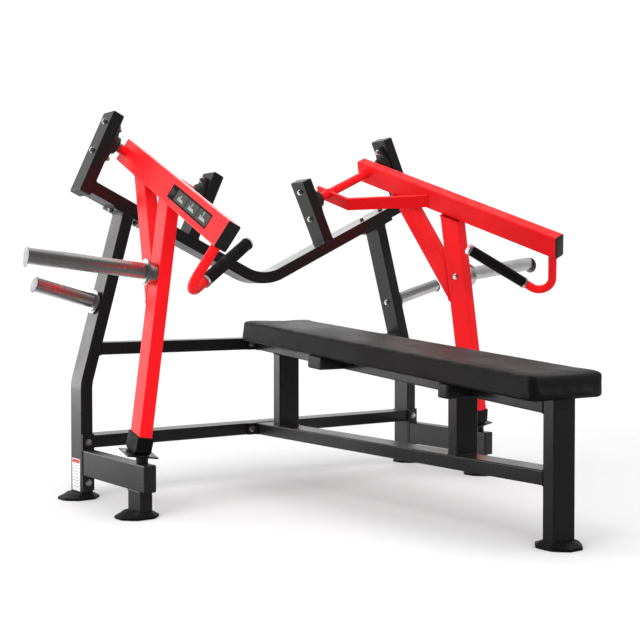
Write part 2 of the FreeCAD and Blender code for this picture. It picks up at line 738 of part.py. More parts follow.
def horn_body(kind, root, outward, face_normal):
    """Plate horn: a hollow tube closed at both ends, with a stop ring near its root."""
    r, wall, chamfer = size("horn_radius"), size("horn_wall"), size("horn_chamfer")
    length = size(f"{kind}_horn_length")
    ring, near = size(f"{kind}_ring_radius"), size(f"{kind}_ring_at")
    far = near + size("horn_ring_thick")
    start = -2 if kind == "weight" else 0
    profile = [
        (0, start), (r, start), (r, near), (ring - 2, near), (ring, near + 2),
        (ring, far - 2), (ring - 2, far), (r, far),
        (r, length - chamfer), (r - chamfer, length), (0, length),
        (0, length - wall), (r - wall, length - wall), (r - wall, wall), (0, wall),
    ]
    across = outward.cross(Y_AXIS).normalize()
    horn = turned_body(f"{kind}_horn", profile, axes_at(root, across, outward))
    tools = drills([horn_site(kind, root, face_normal)])
    if kind == "weight":
        tools.append(half_space(root, face_normal * -1))
    return cut_away(horn, tools)


def horn_site(kind, root, outward):
    """Bolt from the tube's far side into the horn's closed root."""
    slack = size("droop_slack") if kind == "weight" else 0
    return root - outward * THIN, outward, THIN + size("horn_wall") + slack


def make_storage_horn(side, word):
    root, outward = storage_horn_root(side)
    keep(f"{word}_storage_horn", horn_body("storage", root, outward, outward))


def foot_body(label, x, y, wide, deep, tube, tube_x, tube_y):
    """Rubber foot: an eight-sided block that narrows upwards, with a socket for the tube.

    The tube's section is a pair of sheet expressions; tube_x and tube_y are its middle, from
    the foot's.
    """
    bevel, corner = size("foot_bevel"), size("foot_corner")
    height = size("foot_height")
    body = new_body(label, FreeCAD.Placement(vec(x, y, 0), FreeCAD.Rotation()))
    rings = []
    for level, shrink in ((0, 0), (height, bevel)):
        a, b = size(wide) / 2 - shrink, size(deep) / 2 - shrink
        cut = corner - shrink / 2
        points = [(a, b - cut), (a - cut, b), (cut - a, b), (-a, b - cut),
                  (-a, cut - b), (cut - a, -b), (a - cut, -b), (a, cut - b)]
        ring = new_sketch(body)
        ring.AttachmentOffset = FreeCAD.Placement(vec(0, 0, level), FreeCAD.Rotation())
        outline(ring, closed_polygon(points))
        rings.append(ring)
    loft = body.newObject("PartDesign::AdditiveLoft", label + "_loft")
    loft.Profile = rings[0]
    loft.Sections = [rings[1]]
    loft.Ruled = True
    socket = new_sketch(body)
    socket.AttachmentOffset = FreeCAD.Placement(vec(tube_x, tube_y, height), FreeCAD.Rotation())
    bound_rectangle(socket, *tube)
    pocket(body, socket, "sizes.foot_socket")
    return body


def make_feet():
    front_y = FRONT - size("front_post_front") + WIDE / 2
    outset, ahead = size("foot_outset"), size("foot_ahead")
    post = ("sizes.tube_thin", "sizes.tube_wide")
    corners = [foot_body("corner_foot", side * (POST_X + outset), y - ahead,
                         "foot_wide", "foot_narrow", post, -side * outset, ahead)
               for side in (-1, 1) for y in (MID, front_y)]
    keep("corner_feet", group(corners, "corner_feet"))
    bench_y = FRONT - size("leg_front") + THIN / 2
    keep("bench_foot", foot_body("bench_foot", 0, bench_y, "foot_narrow", "foot_wide",
                                 post[::-1], 0, 0))


def landing_frame(side):
    """Placement on the landing's plane, on the leg's centreline: local Z points up, square to it."""
    pitch = math.radians(size("landing_pitch"))
    level = ARM_OUT.cross(DOWN_LEG).normalize() * -1       # in the arm's plane, square to the leg
    up = (DOWN_LEG * -math.cos(pitch) + level * math.sin(pitch)).normalize()
    centre = LEG_TOP + DOWN_LEG * size("landing_at")
    return axes_at(mirrored(centre, side), mirrored(ARM_OUT, side), mirrored(up, side)), up


def make_landing_plates():
    """Thin landing plates on short round necks that stop the arms' boots."""
    pieces = []
    beam_top = size("side_beam_height") + WIDE
    for side, word in MIRRORED_SIDES:
        face, up = landing_frame(side)
        up = mirrored(up, side)
        below = size("landing_gap") + size("landing_thick")
        rearward = face.Rotation.multVec(Y_AXIS)
        rearward *= math.copysign(size("landing_set_back"), rearward.y)
        under = FreeCAD.Placement(face.Base - up * below + rearward, face.Rotation)
        plate = block("sizes.landing_wide", "sizes.landing_deep", "sizes.landing_thick",
                      under, "landing")
        foot = vec(side * POST_X, FRONT - size("neck_reach"), beam_top)
        neck = cylinder("sizes.neck_radius", "sizes.tube_thin",
                        FreeCAD.Placement(foot, FreeCAD.Rotation()), "neck")
        neck = cut_away(neck, [half_space(under.Base + up * 1, up)])
        pieces.append(joined([plate, neck], "landing"))
    keep("landing_plates", group(pieces, "landing_plates"))


# ---------------------------------------------------------------- bench

incline = math.radians(size("bench_incline"))
RAIL_AHEAD = vec(0, -math.cos(incline), -math.sin(incline))
RAIL_UP = vec(0, -math.sin(incline), math.cos(incline))
RAIL_START = vec(0, FRONT, size("upper_cross_height"))     # lower edge, at the cross tube


def rail_underside(y):
    """Height of the rail's underside at a given Y."""
    return RAIL_START.z - (FRONT - y) * math.tan(incline)


def make_bench_rail():
    """Inclined rail from the upper cross tube, where its flange bolts on, to the bench leg."""
    start = FRONT - size("flange_thick")
    end = FRONT - size("leg_front") + THIN
    rise = THIN / 2 / math.cos(incline)
    path = [(start, rail_underside(start) + rise), (end, rail_underside(end) + rise)]
    rail = shaped_tube("bench_top_rail", path, THIN, "sizes.tube_wide",
                       FreeCAD.Placement(), "YZ_Plane", start_cut=(0, 1), end_cut=(0, 1))
    middle = size("upper_cross_height") + THIN / 2
    flange = block("sizes.bench_flange_width", "sizes.tube_thin", "sizes.flange_thick",
                   axes_at(vec(0, FRONT, middle), X_AXIS, Y_AXIS * -1), "flange")
    sites = bench_flange_sites()[2:]
    keep("bench_top_rail", cut_away(joined([rail, flange], "welded"), drills(sites)))


def make_bench_base():
    """Level tube from the lower cross tube to the bench leg."""
    middle = size("cross_height") + THIN / 2
    start = vec(0, FRONT - size("flange_thick"), middle)
    tube = straight_tube("bench_base_tube", "sizes.tube_wide", "sizes.tube_thin",
                         "sizes.leg_front - sizes.tube_thin - sizes.flange_thick",
                         axes_at(start, X_AXIS, Y_AXIS * -1))
    flange = block("sizes.bench_flange_width", "sizes.tube_thin", "sizes.flange_thick",
                   axes_at(vec(0, FRONT, middle), X_AXIS, Y_AXIS * -1), "flange")
    sites = bench_flange_sites()[:2]
    keep("bench_base_tube", cut_away(joined([tube, flange], "welded"), drills(sites)))


def make_bench_post(name, front, bottom, past=0):
    """Upright tube with its top cut to the rail's slope, under the rail or past it."""
    y = FRONT - front + THIN / 2
    path = [(y, bottom), (y, rail_underside(y) + past / math.cos(incline))]
    slope = (-math.cos(incline), -math.sin(incline))
    keep(name, shaped_tube(name, path, THIN, "sizes.tube_wide", FreeCAD.Placement(),
                           "YZ_Plane", end_cut=slope))


def support_places(reach):
    """Placements on the four pad supports' axes, at a reach from the rail's sides."""
    places = []
    for end in ("rear", "front"):
        run = (size(f"{end}_bracket_front") - size(f"{end}_bracket_wide") / 2) / math.cos(incline)
        centre = RAIL_START + RAIL_AHEAD * run + RAIL_UP * (THIN / 2)
        places += [(f"sizes.{end}_bracket_wide",
                    axes_at(centre + X_AXIS * (side * (WIDE / 2 + reach)), RAIL_AHEAD,
                            X_AXIS * side)) for side in (-1, 1)]
    return places


def make_pad_supports():
    """Four short tubes welded to the rail's sides under the pad."""
    pieces = [straight_tube("pad_support", wide, "sizes.tube_thin", "sizes.bracket_reach", place)
              for wide, place in support_places(0)]
    keep("pad_supports", group(pieces, "pad_supports"))


def pad_frame(height):
    """Placement on the bench's centreline at the pad's middle; local Y runs to the head end."""
    run = (size("pad_rear") + size("pad_length") / 2) / math.cos(incline)
    base = RAIL_START + RAIL_AHEAD * run + RAIL_UP * (THIN + height)
    return axes_at(base, X_AXIS, RAIL_UP)


def make_pad():
    """Foam pad in its cover, with a recess for the plywood board."""
    body = new_body("bench_pad", pad_frame(size("board_proud")))
    profile = new_sketch(body)
    bound_rectangle(profile, "sizes.pad_width", "sizes.pad_length")
    solid = pad(body, profile, "sizes.pad_thick")
    corners = round_edges(body, solid, lambda e: abs(e.tangentAt(e.FirstParameter).z) > 0.99,
                          "sizes.pad_corner")
    thick = size("pad_thick")
    round_edges(body, corners,
                lambda e: abs(abs(middle_of(e).z - thick / 2) - thick / 2) < 0.01,
                "sizes.pad_edge")
    recess = new_sketch(body)
    bound_rectangle(recess, "sizes.pad_width - 2 * sizes.pad_edge - 2 * sizes.board_border",
                    "sizes.pad_length - 2 * sizes.pad_edge - 2 * sizes.board_border")
    pocket(body, recess, "sizes.board_thick - sizes.board_proud", reverse=True)
    keep("bench_pad", body)
    board = new_body("pad_board", pad_frame(0))
    profile = new_sketch(board)
    bound_rectangle(profile, "sizes.pad_width - 2 * sizes.pad_edge - 2 * sizes.board_border",
                    "sizes.pad_length - 2 * sizes.pad_edge - 2 * sizes.board_border")
    pad(board, profile, "sizes.board_thick")
    keep("pad_board", board)


def make_tube_caps():
    """Plastic caps on the frame's open tube ends."""
    caps = []
    for side, word in MIRRORED_SIDES:
        front = vec(side * POST_X, FRONT - size("side_beam_reach"),
                    size("side_beam_height") + WIDE / 2)
        caps.append(capped("cap", "sizes.tube_thin", "sizes.tube_wide",
                           axes_at(front, X_AXIS, Y_AXIS * -1)))
        for place_word in ("inner", "outer"):
            along, foot, length = post_span(place_word)
            top = mirrored(half_beam(along, foot + length), side)
            caps.append(capped("cap", "sizes.tube_thin", "sizes.tube_wide",
                               axes_at(top, mirrored(OUT, side), mirrored(SQUARE, side))))
        bottom = mirrored(half_beam(along, foot), side)
        caps.append(capped("cap", "sizes.tube_thin", "sizes.tube_wide",
                           axes_at(bottom, mirrored(OUT, side), mirrored(SQUARE * -1, side))))
    caps += [capped("cap", wide, "sizes.tube_thin", place)
             for wide, place in support_places(size("bracket_reach"))]
    keep("frame_tube_caps", group(caps, "frame_tube_caps"))


# ---------------------------------------------------------------- lever arms

def arm_place(side, point, x_axis, z_axis):
    return axes_at(mirrored(point, side), mirrored(x_axis, side), mirrored(z_axis, side))


def beam_bottom_trim(side, along):
    """Everything above the underside of the arm's beam, around a place along it."""
    return half_space(mirrored(PIVOT + AHEAD * along - ABOVE * (WIDE / 2), side),
                      mirrored(ABOVE, side))


def make_arm_beam(side, word):
    """Main beam of the lever arm, drilled for the pivot tube."""
    start = PIVOT - AHEAD * size("arm_tail")
    beam = straight_tube(f"{word}_arm_beam", "sizes.tube_thin", "sizes.tube_wide",
                         "sizes.arm_reach + sizes.arm_tail",
                         arm_place(side, start, OUT, AHEAD))
    tail = block("sizes.tube_thin - 2 * sizes.tube_wall", "sizes.tube_wide - 2 * sizes.tube_wall",
                 "sizes.tube_wall", arm_place(side, start, OUT, AHEAD), "tail_plate")
    hole = cylinder("sizes.pivot_tube_radius", "2 * sizes.tube_wide",
                    arm_place(side, PIVOT - OUT * WIDE, AHEAD, OUT))
    keep(f"{word}_arm_beam", cut_away(joined([beam, tail], "welded"), [hole]))
    end = PIVOT + AHEAD * size("arm_reach")
    keep(f"{word}_arm_beam_cap", capped(f"{word}_beam_cap", "sizes.tube_thin", "sizes.tube_wide",
                                        arm_place(side, end, OUT, AHEAD)))


def ring_centres():
    """Middle of each bearing's inner ring, along the pivot axis."""
    inset = (size("housing_width") + THIN) / 2 + 5
    return [size("inner_post_at") + inset, size("outer_post_at") - inset]


def make_pivot(side, word):
    """Shaft, the rings clamped on it and the tube that is welded through the beam."""
    inner, outer = ring_centres()
    half_ring = size("ring_width") / 2
    shaft_length = outer - inner + size("ring_width")
    axis_point = PIVOT + OUT * (inner - half_ring - size("arm_at"))
    keep(f"{word}_pivot_shaft",
         cylinder("sizes.shaft_radius", str(shaft_length),
                  arm_place(side, axis_point, AHEAD, OUT), "shaft"))
    tube_start = inner + half_ring + 4
    tube_length = outer - half_ring - 4 - tube_start
    r, shaft = size("pivot_tube_radius"), size("shaft_radius")
    keep(f"{word}_pivot_tube",
         turned_body(f"{word}_pivot_tube",
                     [(shaft, 0), (r, 0), (r, tube_length), (shaft, tube_length)],
                     arm_place(side, PIVOT + OUT * (tube_start - size("arm_at")), AHEAD, OUT)))
    ring = [(shaft, 0), (size("ring_radius"), 0), (size("ring_radius"), size("ring_width")),
            (shaft, size("ring_width"))]
    rings = [turned_body("ring", ring,
                         arm_place(side, PIVOT + OUT * (at - half_ring - size("arm_at")),
                                   AHEAD, OUT)) for at in (inner, outer)]
    keep(f"{word}_bearing_rings", group(rings, f"{word}_bearing_rings"))


def make_arm_brace(side, word):
    """Dog-leg brace from the inner end of the pivot tube to the beam's inner side."""
    out_start = size("brace_at") - size("arm_at")
    path = [(out_start, -size("brace_start")), (out_start, size("brace_elbow")),
            (-THIN / 2, size("brace_end"))]
    path = [(x, side * y) for x, y in path]
    place = arm_place(side, PIVOT - ABOVE * size("brace_drop"), OUT, ABOVE)
    # Local Y is square to local X and Z, so it points ahead on the left and back on the right.
    path = [(x, -y) for x, y in path]
    brace, _ = strip_body(f"{word}_arm_brace", path, size("brace_thick"), "sizes.brace_deep",
                          place, "XY_Plane", end_cut=(0, 1))
    hole = cylinder("sizes.pivot_tube_radius", "2 * sizes.tube_wide",
                    arm_place(side, PIVOT + OUT * (out_start - WIDE), AHEAD, OUT))
    keep(f"{word}_arm_brace", cut_away(brace, [hole]))


def leg_frame(side):
    """Body axes in the arm's plane: local X along the leg, local Z outward."""
    place = arm_place(side, LEG_TOP, DOWN_LEG, ARM_OUT)
    # Local Y lies in the plane, square to the leg; it points to the rear on the right arm.
    return place, side


def make_leg(side, word):
    """Leg from the beam's underside down to the rubber boot, and the boot."""
    place, flip = leg_frame(side)
    pitch = size("landing_pitch")
    length = size("leg_length")
    boot = (size("landing_at") - length) * math.cos(math.radians(pitch))
    cut = turned(0, 1, flip * pitch)
    square = turned(1, 0, flip * pitch)
    path = [(0, 0), (length, 0)]
    leg = shaped_tube(f"{word}_arm_leg", path, WIDE, "sizes.tube_thin", place, end_cut=cut)
    site = horn_site("weight", *weight_horn_root(side))
    trim = beam_bottom_trim(side, size("leg_at"))
    keep(f"{word}_arm_leg", cut_away(leg, [trim] + drills([site])))
    end = (length + boot * square[0], boot * square[1])
    body, solid = strip_body(f"{word}_boot", [(length, 0), end],
                             WIDE + 2 * size("boot_border"),
                             "sizes.tube_thin + 2 * sizes.boot_border", place, "XY_Plane",
                             start_cut=cut, end_cut=cut)
    round_edges(body, solid, lambda e: abs(e.tangentAt(e.FirstParameter).z) > 0.99
                and middle_of(e).x > length + boot / 2, "sizes.boot_round")
    keep(f"{word}_leg_boot", body)


def make_leg_strut(side, word):
    """Strut from the beam's underside to the back of the leg."""
    place, flip = leg_frame(side)
    cosine = AHEAD.dot(DOWN_LEG)
    sine = math.sqrt(1 - cosine * cosine)
    # In leg axes: x down the leg, y towards the rear of the machine.
    back = size("leg_at") - size("strut_top")
    top = (-back * cosine, back * sine)
    top = (top[0] + (WIDE / 2) * sine, top[1] + (WIDE / 2) * cosine)
    foot = (size("strut_foot"), WIDE / 2)
    run = math.hypot(foot[0] - top[0], foot[1] - top[1])
    spare = 2 * WIDE
    beyond = (top[0] + (top[0] - foot[0]) * spare / run, top[1] + (top[1] - foot[1]) * spare / run)
    path = [(x, flip * y) for x, y in (beyond, foot)]
    strut = shaped_tube(f"{word}_leg_strut", path, size("strut_wide"), "sizes.tube_thin", place,
                        end_cut=(1, 0))
    keep(f"{word}_leg_strut", cut_away(strut, [beam_bottom_trim(side, size("strut_top"))]))


def weight_horn_root(side):
    root = LEG_TOP + DOWN_LEG * size("weight_horn_at") + ARM_OUT * (THIN / 2)
    return mirrored(root, side), mirrored(ARM_OUT, side)


def make_weight_horn(side, word):
    root, face_normal = weight_horn_root(side)
    droop = math.radians(size("weight_horn_droop"))
    outward = ARM_OUT * math.cos(droop) + DOWN_LEG * math.sin(droop)
    keep(f"{word}_weight_horn", horn_body("weight", root, mirrored(outward, side), face_normal))


def make_handle(side, word):
    """Bent handle tube under the beam's front, its rubber grip and the grip's two collars."""
    start = PIVOT + AHEAD * size("handle_at") - ABOVE * (WIDE / 2)
    down = ABOVE * -1
    grip = (OUT * GRIP_DIRECTION[0] + AHEAD * GRIP_DIRECTION[1] + ABOVE * GRIP_DIRECTION[2])
    grip = grip.normalize()
    cosine = down.dot(grip)
    sideways = (grip - down * cosine).normalize()      # in the handle's plane
    sine = math.sqrt(1 - cosine * cosine)
    drop, radius = size("handle_drop"), size("handle_bend_radius")
    half_turn = math.acos(cosine) / 2
    reach = radius * math.tan(half_turn)
    rubber = size("grip_length")
    collar = size("collar_length")
    run = size("grip_start") + collar + rubber
    # The handle's plane: local Z down from the beam, local X sideways.
    enter = (0, drop - reach)
    leave = (reach * sine, drop + reach * cosine)
    bisector = (sine, cosine - 1)
    swing = radius * (1 / math.cos(half_turn) - 1) / math.hypot(*bisector)
    deepest = (bisector[0] * swing, drop + bisector[1] * swing)
    end = (run * sine, drop + run * cosine)
    place = arm_place(side, start, sideways, down)
    body = new_body(f"{word}_handle", place)
    route = new_sketch(body, "XZ_Plane")
    outline(route, [((0, 0), enter), (enter, deepest, leave), (leave, end)])
    section = new_sketch(body)
    bound_circle(section, "sizes.handle_radius")
    bound_circle(section, "sizes.handle_radius - sizes.handle_wall")
    pipe = body.newObject("PartDesign::AdditivePipe", f"{word}_handle_pipe")
    pipe.Profile = section
    pipe.Spine = (route, ["Edge1", "Edge2", "Edge3"])
    keep(f"{word}_handle", body)

    corner = start + down * drop
    across = grip.cross(down).normalize()
    tube, sleeve = size("handle_radius"), size("grip_radius")
    ring = size("grip_collar_radius")

    def on_grip(distance):
        return arm_place(side, corner + grip * distance, across, grip)

    first = size("grip_start")
    keep(f"{word}_hand_grip",
         turned_body(f"{word}_grip", [(tube, 0), (sleeve, 0), (sleeve, rubber), (tube, rubber)],
                     on_grip(first + collar)))
    near = turned_body("collar", [(tube, 0), (ring - 1, 0), (ring, 1), (ring, collar),
                                  (tube, collar)], on_grip(first))
    far = turned_body("collar", [(0, 0), (ring, 0), (ring, collar - 3), (ring - 3, collar),
                                 (0, collar)], on_grip(run))
    keep(f"{word}_grip_collars", group([near, far], f"{word}_grip_collars"))


# ---------------------------------------------------------------- build

for hand, side_word in MIRRORED_SIDES:
    make_upright(hand, side_word)
    make_side_beam(hand, side_word)
    make_front_post(hand, side_word)
    make_storage_horn(hand, side_word)
    for which in ("inner", "outer"):
        make_bearing_post(hand, side_word, which)
    keep(f"{side_word}_bearings", group([bearing_housing(hand, which)
                                         for which in ("inner", "outer")], "bearings"))
    make_arm_beam(hand, side_word)
    make_pivot(hand, side_word)
    make_arm_brace(hand, side_word)
    make_leg(hand, side_word)
    make_leg_strut(hand, side_word)
    make_weight_horn(hand, side_word)
    make_handle(hand, side_word)
    bolts(f"{side_word}_horn_bolt", [horn_site("weight", *weight_horn_root(hand))])

make_cross_tubes()
make_top_beam()
make_bench_rail()
make_bench_base()
make_bench_post("bench_rear_post", size("rear_post_front"), size("cross_height") + THIN)
make_bench_post("bench_mid_post", size("mid_post_front"), size("cross_height") + THIN)
make_bench_post("bench_front_leg", size("leg_front"), size("foot_height") - size("foot_socket"), THIN)
make_pad_supports()
make_pad()
make_feet()
make_landing_plates()
make_tube_caps()
bolts("flange_bolts", upright_sites(-1) + upright_sites(1) + bench_flange_sites())
bolts("upper_frame_bolts", top_flange_sites(-1) + top_flange_sites(1)
      + [horn_site("storage", *storage_horn_root(hand)) for hand, _ in MIRRORED_SIDES])
bolts("bearing_bolts", [site for hand, _ in MIRRORED_SIDES for which in ("inner", "outer")
                        for site in bearing_sites(hand, which)])

doc.recompute()
failed = [thing.Name for thing in doc.Objects
          if "Invalid" in thing.State or "Error" in thing.State]
bad_shapes = [name for name, thing in parts.items()
              if thing.Shape.isNull() or not thing.Shape.isValid()]
if failed or bad_shapes:
    raise SystemExit(f"failed objects {failed}, bad shapes {bad_shapes}")
os.makedirs("parts", exist_ok=True)
for name, thing in parts.items():
    thing.Shape.exportStep(f"parts/{name}.step")
print(len(parts), "parts written")
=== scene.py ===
"""Looks of a plate-loaded flat bench chest press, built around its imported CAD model.

X runs across the machine, the lifter lies with the feet towards -Y, and Z is up.  Everything is
in metres.  Places come from the CAD nodes; only looks (finish, seams, welds, wear) are added here.
"""

import json
import math
import random

import bmesh
import bpy
import numpy as np
from mathutils import Matrix, Vector, noise

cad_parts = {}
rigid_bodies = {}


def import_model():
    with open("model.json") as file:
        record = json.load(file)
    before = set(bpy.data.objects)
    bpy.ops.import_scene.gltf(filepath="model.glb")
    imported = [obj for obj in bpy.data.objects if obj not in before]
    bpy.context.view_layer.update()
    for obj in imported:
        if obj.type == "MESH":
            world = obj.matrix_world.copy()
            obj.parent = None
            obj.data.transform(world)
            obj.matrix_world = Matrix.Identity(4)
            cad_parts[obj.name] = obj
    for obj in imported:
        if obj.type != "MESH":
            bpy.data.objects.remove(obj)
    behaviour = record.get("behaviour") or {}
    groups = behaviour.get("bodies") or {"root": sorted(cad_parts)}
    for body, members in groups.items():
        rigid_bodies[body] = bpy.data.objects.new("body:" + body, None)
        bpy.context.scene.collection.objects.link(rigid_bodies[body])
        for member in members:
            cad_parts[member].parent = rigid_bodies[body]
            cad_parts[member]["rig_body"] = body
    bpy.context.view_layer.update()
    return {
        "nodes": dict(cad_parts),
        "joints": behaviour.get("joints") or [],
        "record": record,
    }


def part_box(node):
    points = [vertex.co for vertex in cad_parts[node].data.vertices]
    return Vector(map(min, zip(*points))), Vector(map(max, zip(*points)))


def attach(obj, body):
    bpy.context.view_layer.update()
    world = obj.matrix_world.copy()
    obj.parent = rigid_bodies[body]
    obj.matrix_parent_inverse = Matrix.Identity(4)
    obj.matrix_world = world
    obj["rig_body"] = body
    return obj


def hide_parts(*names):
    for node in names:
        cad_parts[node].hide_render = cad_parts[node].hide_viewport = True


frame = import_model()
NODES = frame["nodes"]
SIDES = (("left", -1), ("right", 1))
MM = 0.001
X, Y, Z = Vector((1, 0, 0)), Vector((0, 1, 0)), Vector((0, 0, 1))

# The camera stands off the bench's foot end, on the left arm's side.
CAMERA_PLACE = Vector((-2.2988, -2.7979, 0.668))
CAMERA_YAW = math.radians(36.19)        # from +Y towards +X
CAMERA_PITCH = math.radians(1.533)      # downwards
CAMERA_LENS = 66.88                     # on a 36 mm sensor
VIEW_AHEAD = Vector((math.sin(CAMERA_YAW), math.cos(CAMERA_YAW), 0))


# -------- shaders

def scaled(colour, factor):
    return tuple(channel * factor for channel in colour)


class Shader:
    """A new node material: its Principled shader, and short ways to add and join nodes."""

    def __init__(self, name, colour, roughness, metallic=0.0, **sockets):
        self.material = bpy.data.materials.new(name)
        self.material.use_nodes = True
        self.tree = self.material.node_tree
        self.shader = self.tree.nodes["Principled BSDF"]
        self.set(self.shader, {"Base Color": (*colour, 1), "Roughness": roughness,
                               "Metallic": metallic, **sockets})
        self.place = self.node("ShaderNodeTexCoord").outputs["Object"]

    @staticmethod
    def set(node, values):
        for socket, value in values.items():
            node.inputs[socket].default_value = value

    def node(self, kind, values=None, **properties):
        made = self.tree.nodes.new(kind)
        for name, value in properties.items():
            setattr(made, name, value)
        self.set(made, values or {})
        return made

    def join(self, source, target):
        self.tree.links.new(source, target)

    def noise(self, scale, detail=2.0, stretch=None, rough=0.5):
        """Noise in the object's own metres; scale is features per metre."""
        made = self.node("ShaderNodeTexNoise",
                         {"Scale": scale, "Detail": detail, "Roughness": rough})
        place = self.place
        if stretch:
            mapping = self.node("ShaderNodeMapping", {"Scale": stretch})
            self.join(place, mapping.inputs["Vector"])
            place = mapping.outputs["Vector"]
        self.join(place, made.inputs["Vector"])
        return made.outputs["Fac"]

    def cells(self, scale, feature="F1", place=None):
        made = self.node("ShaderNodeTexVoronoi", {"Scale": scale}, feature=feature)
        self.join(place or self.place, made.inputs["Vector"])
        return made.outputs["Distance"]

    def spread(self, value, low, high, to_low, to_high):
        """A value mapped from one range to another, smoothly, and kept inside it."""
        made = self.node("ShaderNodeMapRange",
                         {"From Min": low, "From Max": high, "To Min": to_low, "To Max": to_high},
                         interpolation_type="SMOOTHSTEP")
        self.join(value, made.inputs["Value"])
        return made.outputs["Result"]

    def sum(self, a, b, operation="ADD"):
        made = self.node("ShaderNodeMath", operation=operation)
        self.join(a, made.inputs[0])
        if isinstance(b, float):
            made.inputs[1].default_value = b
        else:
            self.join(b, made.inputs[1])
        return made.outputs[0]

    def mix(self, factor, a, b):
        """Colour a at factor 0 and colour b at 1; each is a colour or a socket."""
        made = self.node("ShaderNodeMix", data_type="RGBA")
        self.join(factor, made.inputs["Factor"])
        for socket, value in ((made.inputs[6], a), (made.inputs[7], b)):
            if isinstance(value, tuple):
                socket.default_value = (*value, 1)
            else:
                self.join(value, socket)
        return made.outputs[2]

    def mottle(self, scale, detail, a, b, low=0.3):
        """Colour that wanders between a and b with noise."""
        return self.mix(self.spread(self.noise(scale, detail), low, 0.7, 0.0, 1.0), a, b)

    def bump(self, height, strength, distance, under=None):
        made = self.node("ShaderNodeBump", {"Strength": strength, "Distance": distance})
        self.join(height, made.inputs["Height"])
        if under is not None:
            self.join(under, made.inputs["Normal"])
        return made.outputs["Normal"]

    def along(self, direction):
        """How far the place lies along a direction."""
        made = self.node("ShaderNodeVectorMath", operation="DOT_PRODUCT")
        self.join(self.place, made.inputs[0])
        made.inputs[1].default_value = tuple(direction)
        return made.outputs["Value"]

    def facing_up(self):
        """How far the surface faces upwards, from 0 to 1."""
        normal = self.node("ShaderNodeNewGeometry").outputs["Normal"]
        split = self.node("ShaderNodeSeparateXYZ")
        self.join(normal, split.inputs["Vector"])
        return self.spread(split.outputs["Z"], 0.3, 1.0, 0.0, 1.0)

    def drive(self, **sockets):
        """Joins the shader's colour, roughness and normal to what drives them."""
        for name, socket in sockets.items():
            inlet = {"colour": "Base Color", "roughness": "Roughness", "normal": "Normal"}[name]
            self.join(socket, self.shader.inputs[inlet])


def powder_coat(name, colour, worn, roughness, peel, shine, tint):
    """Sprayed and baked paint: orange peel, slow gloss changes, thin dust and a few scuffs."""
    s = Shader(name, colour, roughness, **{"Specular IOR Level": shine,
                                           "Specular Tint": (*tint, 1)})
    slow = s.noise(7, 3)
    scuff = s.spread(s.noise(60, 6, stretch=(1, 1, 0.15), rough=0.75), 0.66, 0.74, 0.0, 1.0)
    dust = s.sum(s.facing_up(), s.spread(s.noise(25, 4), 0.35, 0.75, 0.0, 0.06), "MULTIPLY")
    shade = s.mix(s.spread(slow, 0.3, 0.7, 0.0, 1.0), colour, scaled(colour, 0.86))
    dusty = s.mix(dust, shade, (0.42, 0.41, 0.40))
    gloss = s.spread(slow, 0.25, 0.75, roughness - 0.05, roughness + 0.07)
    fine = s.bump(s.noise(1400, 1), peel, 0.0002)
    s.drive(colour=s.mix(s.sum(scuff, 0.35, "MULTIPLY"), dusty, worn),
            roughness=s.sum(gloss, s.sum(scuff, 0.12, "MULTIPLY")),
            normal=s.bump(s.noise(260, 2), peel * 0.8, 0.0006, fine))
    return s.material


def chrome(name, colour, roughness, rings):
    """Plated or turned metal: fine turning marks and a soft haze where plates have rubbed."""
    s = Shader(name, colour, roughness, metallic=1.0)
    haze = s.spread(s.noise(18, 5), 0.35, 0.7, 0.0, 1.0)
    rub = s.noise(rings, 2, stretch=(1, 0.06, 0.06))
    s.drive(colour=s.mix(haze, colour, scaled(colour, 0.86)),
            roughness=s.sum(s.spread(haze, 0.0, 1.0, roughness, roughness + 0.09),
                            s.spread(rub, 0.3, 0.7, -0.02, 0.02)),
            normal=s.bump(rub, 0.02, 0.0002))
    return s.material


def cast_iron(name, colour):
    """Sand casting under thin black paint: a coarse skin with small pits."""
    s = Shader(name, colour, 0.5)
    grain = s.noise(330, 5, rough=0.65)
    pits = s.spread(s.cells(420), 0.0, 0.28, 0.0, 1.0)
    s.drive(colour=s.mix(s.spread(grain, 0.35, 0.7, 0.0, 1.0), colour, scaled(colour, 1.7)),
            roughness=s.spread(grain, 0.3, 0.7, 0.42, 0.62),
            normal=s.bump(pits, 0.25, 0.0004, s.bump(grain, 0.5, 0.0008)))
    return s.material


def rubber(name, colour):
    """Moulded rubber: matt, finely pebbled, paler with dust where it faces up."""
    s = Shader(name, colour, 0.62, **{"Specular IOR Level": 0.2})
    pebble = s.noise(700, 3, rough=0.6)
    bloom = s.sum(s.facing_up(), s.spread(s.noise(40, 5), 0.35, 0.7, 0.0, 0.03), "MULTIPLY")
    s.drive(colour=s.mix(bloom, colour, (0.30, 0.29, 0.28)),
            roughness=s.spread(s.noise(30, 3), 0.3, 0.7, 0.54, 0.70),
            normal=s.bump(pebble, 0.35, 0.0004))
    return s.material


def moulded_plastic(name, colour):
    """Injection moulded cap: spark-eroded grain with a dull sheen."""
    s = Shader(name, colour, 0.45)
    grain = s.noise(1100, 3, rough=0.7)
    s.drive(colour=s.mottle(35, 4, colour, scaled(colour, 1.5)),
            roughness=s.spread(grain, 0.3, 0.7, 0.38, 0.55), normal=s.bump(grain, 0.4, 0.0003))
    return s.material


